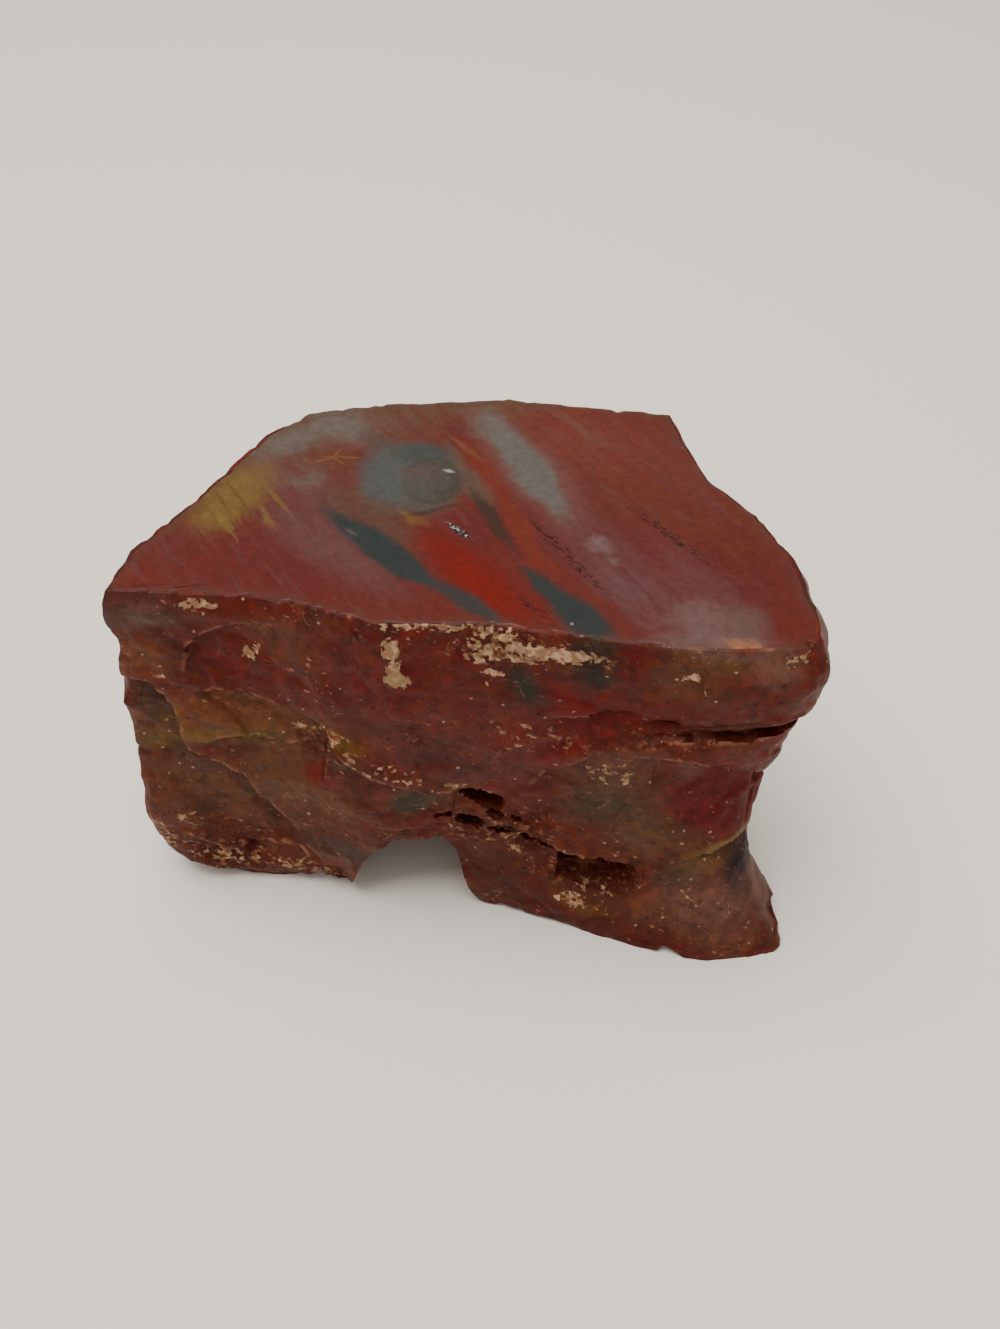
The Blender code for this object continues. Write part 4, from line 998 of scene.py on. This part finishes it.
def polished_jasper(colours, group):
    """Jasper, which is quartz coloured by iron, sawn and polished: an even gloss over clouds, veins and grain."""
    material, tree, inputs = new_material("polished_jasper", POLISHED_ROUGHNESS, QUARTZ_IOR, 0.14)
    plain = millimetres(tree)
    wavy = shaken(tree, shaken(tree, plain, 7.0, 4.0), 1.6, 0.9)
    smooth = shaken(tree, plain, 6.0, 1.8, 1.0)
    places = {
        "plain": plain,
        "wavy": wavy,
        "smooth": smooth,
        "mottled": shaken(tree, wavy, 2.6, 4.0, 3.0),
        "streaky_left": streaked(tree, wavy, -58.0, 22.0, 0.9, 9.0),
        "streaky_right": streaked(tree, wavy, -60.0, 20.0, 1.2, 7.0),
    }
    # The red ground: brick and crimson clouds, mauve streaks and the larger clouds of the markings
    ground = clouded(tree, colours.brick, colours, (
        ("crimson", wavy, 17.0, 0.35, 0.7, 0.5), ("rust", wavy, 11.0, 0.5, 0.75, 0.45),
        ("mauve", places["streaky_right"], 9.0, 0.45, 0.75, 0.45)))
    places = {name: on_top(tree, place) for name, place in places.items()}
    for marking in TOP_CLOUDS:
        ground = laid_marking(tree, group, ground, colours, places, marking)
    # The wood's grain as fine diagonal streaks, dark red, lilac, crimson and rust, and a fine light mottle
    for colour, turn, length, width, low, high, strength in (
            ("dark_red", -54.0, 14.0, 0.7, 0.5, 0.85, 0.3), ("lilac", -55.0, 17.0, 1.6, 0.5, 0.75, 0.28),
            ("crimson", -58.0, 15.0, 2.6, 0.48, 0.65, 0.4), ("rust", -54.0, 12.0, 1.6, 0.55, 0.75, 0.35)):
        fibres = along_grain(tree, smooth, turn, length, width)
        ground = clouded(tree, ground, colours, [(colour, fibres, 1.0, low, high, strength)])
    ground = clouded(tree, ground, colours, [("brick_light", plain, 1.1, 0.5, 0.8, 0.25)])
    for marking in TOP_MARKINGS:
        ground = laid_marking(tree, group, ground, colours, places, marking)
    # Everything is mottled a little, and a few tiny pits are left from the lapping, painted dark with shade
    mottle = noise(tree, wavy, 1.5, 4.0, 0.65)[0]
    ground = shaded(tree, ground, stretched(tree, mottle, 0.3, 0.7, 0.84, 1.16))
    pits = dotted(tree, plain, 2.6, 0.09, 0.3)
    ground = blended(tree, ground, colours.crack, pits, 0.7)
    # Short dark cracks in broken lines
    nearby = on_top(tree, shaken(tree, plain, 1.4, 1.6))
    for *oval, turn in DASH_LINES:
        line = patch(tree, group, ground, colours.dark_red, nearby, oval, turn, 0.5, 0.0, 1.0)[1]
        dashes = cloudy(tree, along_grain(tree, plain, turn + 12.0, 1.7, 0.5), 1.0, 0.5, 0.58)
        ground = blended(tree, ground, colours.crack, product(tree, line, dashes), 0.85)
    # The hollow lined with small crystals: painted shade fills the hollow, and its white crystals carry painted
    # glints
    *oval, turn = VUG
    ground, sunken = patch(tree, group, ground, colours.crack, on_top(tree, shaken(tree, plain, 1.2, 1.3)), oval,
                           turn, 0.35, 0.3, 0.8)
    _, _, glint = flakes(tree, plain, 0.5)
    sparkle = product(tree, sunken, stretched(tree, glint, 0.6, 0.9))
    ground = blended(tree, ground, colours.white_quartz, sparkle, 0.75)
    # A worn edge, browner than the top, broken along the rim
    worn = product(tree, carried(tree, "rim"), cloudy(tree, plain, 4.0, 0.35, 0.6))
    ground = blended(tree, ground, colours.brown_grey, worn, 0.55)
    # The hollow and the pits sink, the rest is lapped almost flat
    lapped = noise(tree, plain, 1.0 / 0.9, 4.0)[0]
    relief = combined(tree, "MULTIPLY_ADD", lapped, 0.012, product(tree, sunken, -0.5))
    relief = combined(tree, "MULTIPLY_ADD", pits, -0.06, relief)
    gloss = stretched(tree, sunken, 0.0, 1.0, POLISHED_ROUGHNESS, HOLLOW_ROUGHNESS)
    link_finish(tree, inputs, ground, gloss, relief)
    return material


def broken_jasper(colours, group):
    """Jasper as it breaks: a waxy skin on shell-like chips, stained by iron, with crumbs and a cream crust."""
    material, tree, inputs = new_material("broken_jasper", WAXY_ROUGHNESS, QUARTZ_IOR, 0.1)
    plain = millimetres(tree)
    wavy = shaken(tree, shaken(tree, plain, 9.0, 5.0), 2.4, 1.5)
    ragged = shaken(tree, plain, 1.3, 1.1, 3.0)
    rim, crest, recess_shade, hollow, crumbly, crust = (
        carried(tree, name) for name in ("rim", "crest", "recess_shade", "hollow", "crumbly", "crust"))
    # Large clouds, then maroon, tan and grey blotches, then the patches of colour, then every flake its own shade
    ground = clouded(tree, colours.rust, colours, (
        ("maroon", wavy, 13.0, 0.35, 0.7, 0.8), ("tan", wavy, 8.0, 0.5, 0.75, 0.6),
        ("umber", wavy, 22.0, 0.52, 0.68, 0.6), ("maroon", wavy, 4.2, 0.5, 0.64, 0.4),
        ("tan", plain, 3.1, 0.54, 0.68, 0.4), ("grey", wavy, 2.2, 0.56, 0.7, 0.3)))
    place = on_front(tree, wavy)
    for *oval, turn, softness, strength, colour in FRONT_MARKINGS:
        ground = patch(tree, group, ground, getattr(colours, colour), place, oval, turn, softness, 0.0, strength)[0]
    _, _, broad_chance = flakes(tree, wavy, 4.0)
    small, _, small_chance = flakes(tree, ragged, 1.5)
    spots = noise(tree, ragged, 2.6, 5.0, 0.7)[0]
    shade = combined(tree, "MULTIPLY_ADD", spots, 4.0, combined(tree, "ADD", broad_chance, small_chance))
    ground = shaded(tree, ground, stretched(tree, shade, 1.9, 4.1, 0.66, 1.34))
    # Crumbly rock: every grain its own shade between orange brown and dark
    grain, _, grain_chance = flakes(tree, ragged, 1.1)
    crumbs = blended(tree, colours.orange, colours.maroon, stretched(tree, grain_chance, 0.2, 0.5))
    crumbs = blended(tree, crumbs, colours.crumb, stretched(tree, grain_chance, 0.86, 0.95))
    ground = blended(tree, ground, crumbs, crumbly, 0.85)
    # Painted shade in the recesses under the scars' edges, pale crests with a painted highlight along the flake edges
    # but not on ledges that face up, and hairlines
    ground = blended(tree, ground, colours.shade, recess_shade, 0.5)
    # Pale crests: the flake edges' own pale line with a painted highlight
    edges = product(tree, crest, cloudy(tree, plain, 2.6, 0.46, 0.6))
    edges = product(tree, edges, stretched(tree, rim, 1.0, 0.0, 0.35))
    normal = node(tree, "ShaderNodeTexCoord").outputs["Normal"]
    upward = node(tree, "ShaderNodeSeparateXYZ", {0: normal}).outputs[2]
    edges = product(tree, edges, stretched(tree, upward, 0.85, 0.6))
    ground = blended(tree, ground, colours.chip, edges, 0.9)
    hairs = node(tree, "ShaderNodeTexVoronoi", {"Vector": wavy, "Scale": 1.0 / 12.0},
                 feature="DISTANCE_TO_EDGE").outputs["Distance"]
    hairs = product(tree, stretched(tree, hairs, 0.014, 0.004), cloudy(tree, plain, 5.0, 0.57, 0.65))
    ground = blended(tree, ground, colours.chip, hairs, 0.35)
    # A worn dark line along the rim, here and there
    worn = product(tree, rim, cloudy(tree, plain, 5.0, 0.4, 0.6))
    ground = blended(tree, ground, colours.edge, worn, 0.6)
    # Pale and dark flecks, in clusters, and more of them low down
    low = product(tree, stretched(tree, place[1], 54.0, 28.0), cloudy(tree, plain, 5.0, 0.48, 0.6))
    clusters = combined(tree, "MAXIMUM", cloudy(tree, plain, 10.0, 0.5, 0.62), stretched(tree, crumbly, 0.05, 0.3))
    clusters = combined(tree, "MAXIMUM", clusters, low)
    long_way = node(tree, "ShaderNodeMapping", {"Vector": ragged, "Rotation": (0.0, math.radians(25.0), 0.0),
                                                "Scale": (1.7, 1.0, 0.8)}, vector_type="TEXTURE").outputs[0]
    for flecks, size, reach, strength in ((long_way, 1.4, 0.34, 0.85), (ragged, 0.9, 0.38, 0.45)):
        pale = product(tree, dotted(tree, flecks, size, reach, 0.2), clusters)
        ground = blended(tree, ground, colours.chip, pale, strength)
    ground = blended(tree, ground, colours.crust_pale, dotted(tree, ragged, 2.8, 0.15, 0.24), 0.6)
    # Tiny pits, painted dark with shade
    pits = dotted(tree, ragged, 2.3, 0.2, 0.2)
    ground = blended(tree, ground, colours.shade, pits, 0.45)
    # Cream crust, broken into blocks, so that its fringes are ragged and the less solid spots lacy
    _, _, block_chance = flakes(tree, ragged, 1.0, "CHEBYCHEV")
    crust = stretched(tree, combined(tree, "MULTIPLY_ADD", block_chance, -0.62, crust), 0.16, 0.26)
    cream = clouded(tree, colours.crust, colours, (
        ("crust_pale", plain, 1.4, 0.45, 0.62, 1.0), ("crust_olive", plain, 4.5, 0.5, 0.66, 0.7)))
    ground = blended(tree, ground, cream, crust, 0.93)
    # Painted shade in the cracks and holes, fuller in the deeper ones
    ground = blended(tree, ground, colours.shade, hollow, 0.25)
    # Waxy gloss, duller on crust and in holes
    dull = combined(tree, "MAXIMUM", crust, hollow)
    gloss = stretched(tree, dull, 0.0, 1.0, WAXY_ROUGHNESS, DULL_ROUGHNESS)
    # Relief in millimetres: flakes, soft lumps, a fine grit, grains, pits and crust
    grit = noise(tree, plain, 0.8, 4.0, 0.6)[0]
    relief = product(tree, small, 0.05)
    for value, height in ((spots, 0.16), (grit, 0.1), (product(tree, grain, crumbly), 0.9), (pits, -0.25),
                          (crust, 0.35)):
        relief = combined(tree, "MULTIPLY_ADD", value, height, relief)
    link_finish(tree, inputs, ground, gloss, relief)
    return material


def matte_floor(colour):
    """A plain pale floor of matte paint."""
    material, _, inputs = new_material("matte_floor", 0.9, 1.45, 0.2)
    inputs["Base Color"].default_value = colour
    return material


def in_scene(name, data):
    """A new object in the scene for a mesh, a light or a camera."""
    made = bpy.data.objects.new(name, data)
    bpy.context.scene.collection.objects.link(made)
    return made


class PETRIFIED_OT_block(bpy.types.Operator):
    """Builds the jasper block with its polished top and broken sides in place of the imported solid"""

    bl_idname = "petrified.block"
    bl_label = "Jasper block"

    def execute(self, context):
        scene = context.scene
        mesh = block_mesh(scene.stone_shape)
        block = in_scene(PIECE, mesh)
        group = placed_patch()
        mesh.materials.append(polished_jasper(scene.top_colours, group))
        mesh.materials.append(broken_jasper(scene.side_colours, group))
        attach(block, "root")
        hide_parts(NODE)
        return {"FINISHED"}


class PETRIFIED_OT_stage(bpy.types.Operator):
    """Builds the plain floor, the soft light and the camera"""

    bl_idname = "petrified.stage"
    bl_label = "Plain stage"

    def execute(self, context):
        look = context.scene.stage_look
        half = look.floor_size / 2.0
        mesh = bpy.data.meshes.new("floor")
        corners = [(-half, -half, 0.0), (half, -half, 0.0), (half, half, 0.0), (-half, half, 0.0)]
        mesh.from_pydata(corners, [], [(0, 1, 2, 3)])
        mesh.materials.append(matte_floor(look.floor))
        floor = in_scene("floor", mesh)

        world = bpy.data.worlds.new("soft_sky")
        world.use_nodes = True
        background = world.node_tree.nodes["Background"]
        background.inputs["Color"].default_value = look.sky
        background.inputs["Strength"].default_value = look.sky_power
        context.scene.world = world

        lamp = bpy.data.lights.new("overhead", "AREA")
        lamp.energy = look.key_power
        lamp.size = look.key_size
        overhead = in_scene("overhead", lamp)
        overhead.location = look.key_place
        aim = -overhead.location
        overhead.rotation_euler = aim.to_track_quat("-Z", "Y").to_euler()

        lens = bpy.data.cameras.new("view")
        lens.lens = look.camera_lens
        lens.sensor_width = SENSOR_WIDTH
        lens.clip_start = NEAREST_SEEN
        camera = in_scene("view", lens)
        camera.location = look.camera_place
        camera.rotation_euler = (look.camera_tilt, 0.0, 0.0)
        bpy.context.scene.camera = camera
        return {"FINISHED"}


class PETRIFIED_PT_sidebar(bpy.types.Panel):
    """Sizes, colours and the two builders"""

    bl_label = "Petrified wood"
    bl_idname = "PETRIFIED_PT_sidebar"
    bl_space_type = "VIEW_3D"
    bl_region_type = "UI"
    bl_category = "Petrified wood"

    def draw(self, context):
        for group, button in GROUPS:
            box = self.layout.box()
            settings = getattr(context.scene, group)
            for name in settings.__annotations__:
                box.prop(settings, name)
            if button:
                box.operator(button)


CLASSES = (StoneShape, TopColours, SideColours, StageLook, PETRIFIED_OT_block, PETRIFIED_OT_stage,
           PETRIFIED_PT_sidebar)
GROUPS = (("stone_shape", ""), ("top_colours", ""), ("side_colours", "petrified.block"),
          ("stage_look", "petrified.stage"))


def register():
    for kind in CLASSES:
        bpy.utils.register_class(kind)
    for (name, _), kind in zip(GROUPS, CLASSES):
        setattr(bpy.types.Scene, name, bpy.props.PointerProperty(type=kind))


def unregister():
    for name, _ in GROUPS:
        delattr(bpy.types.Scene, name)
    for kind in reversed(CLASSES):
        bpy.utils.unregister_class(kind)


def main():
    register()
    bpy.ops.petrified.block()
    bpy.ops.petrified.stage()


if __name__ == "__main__":
    main()
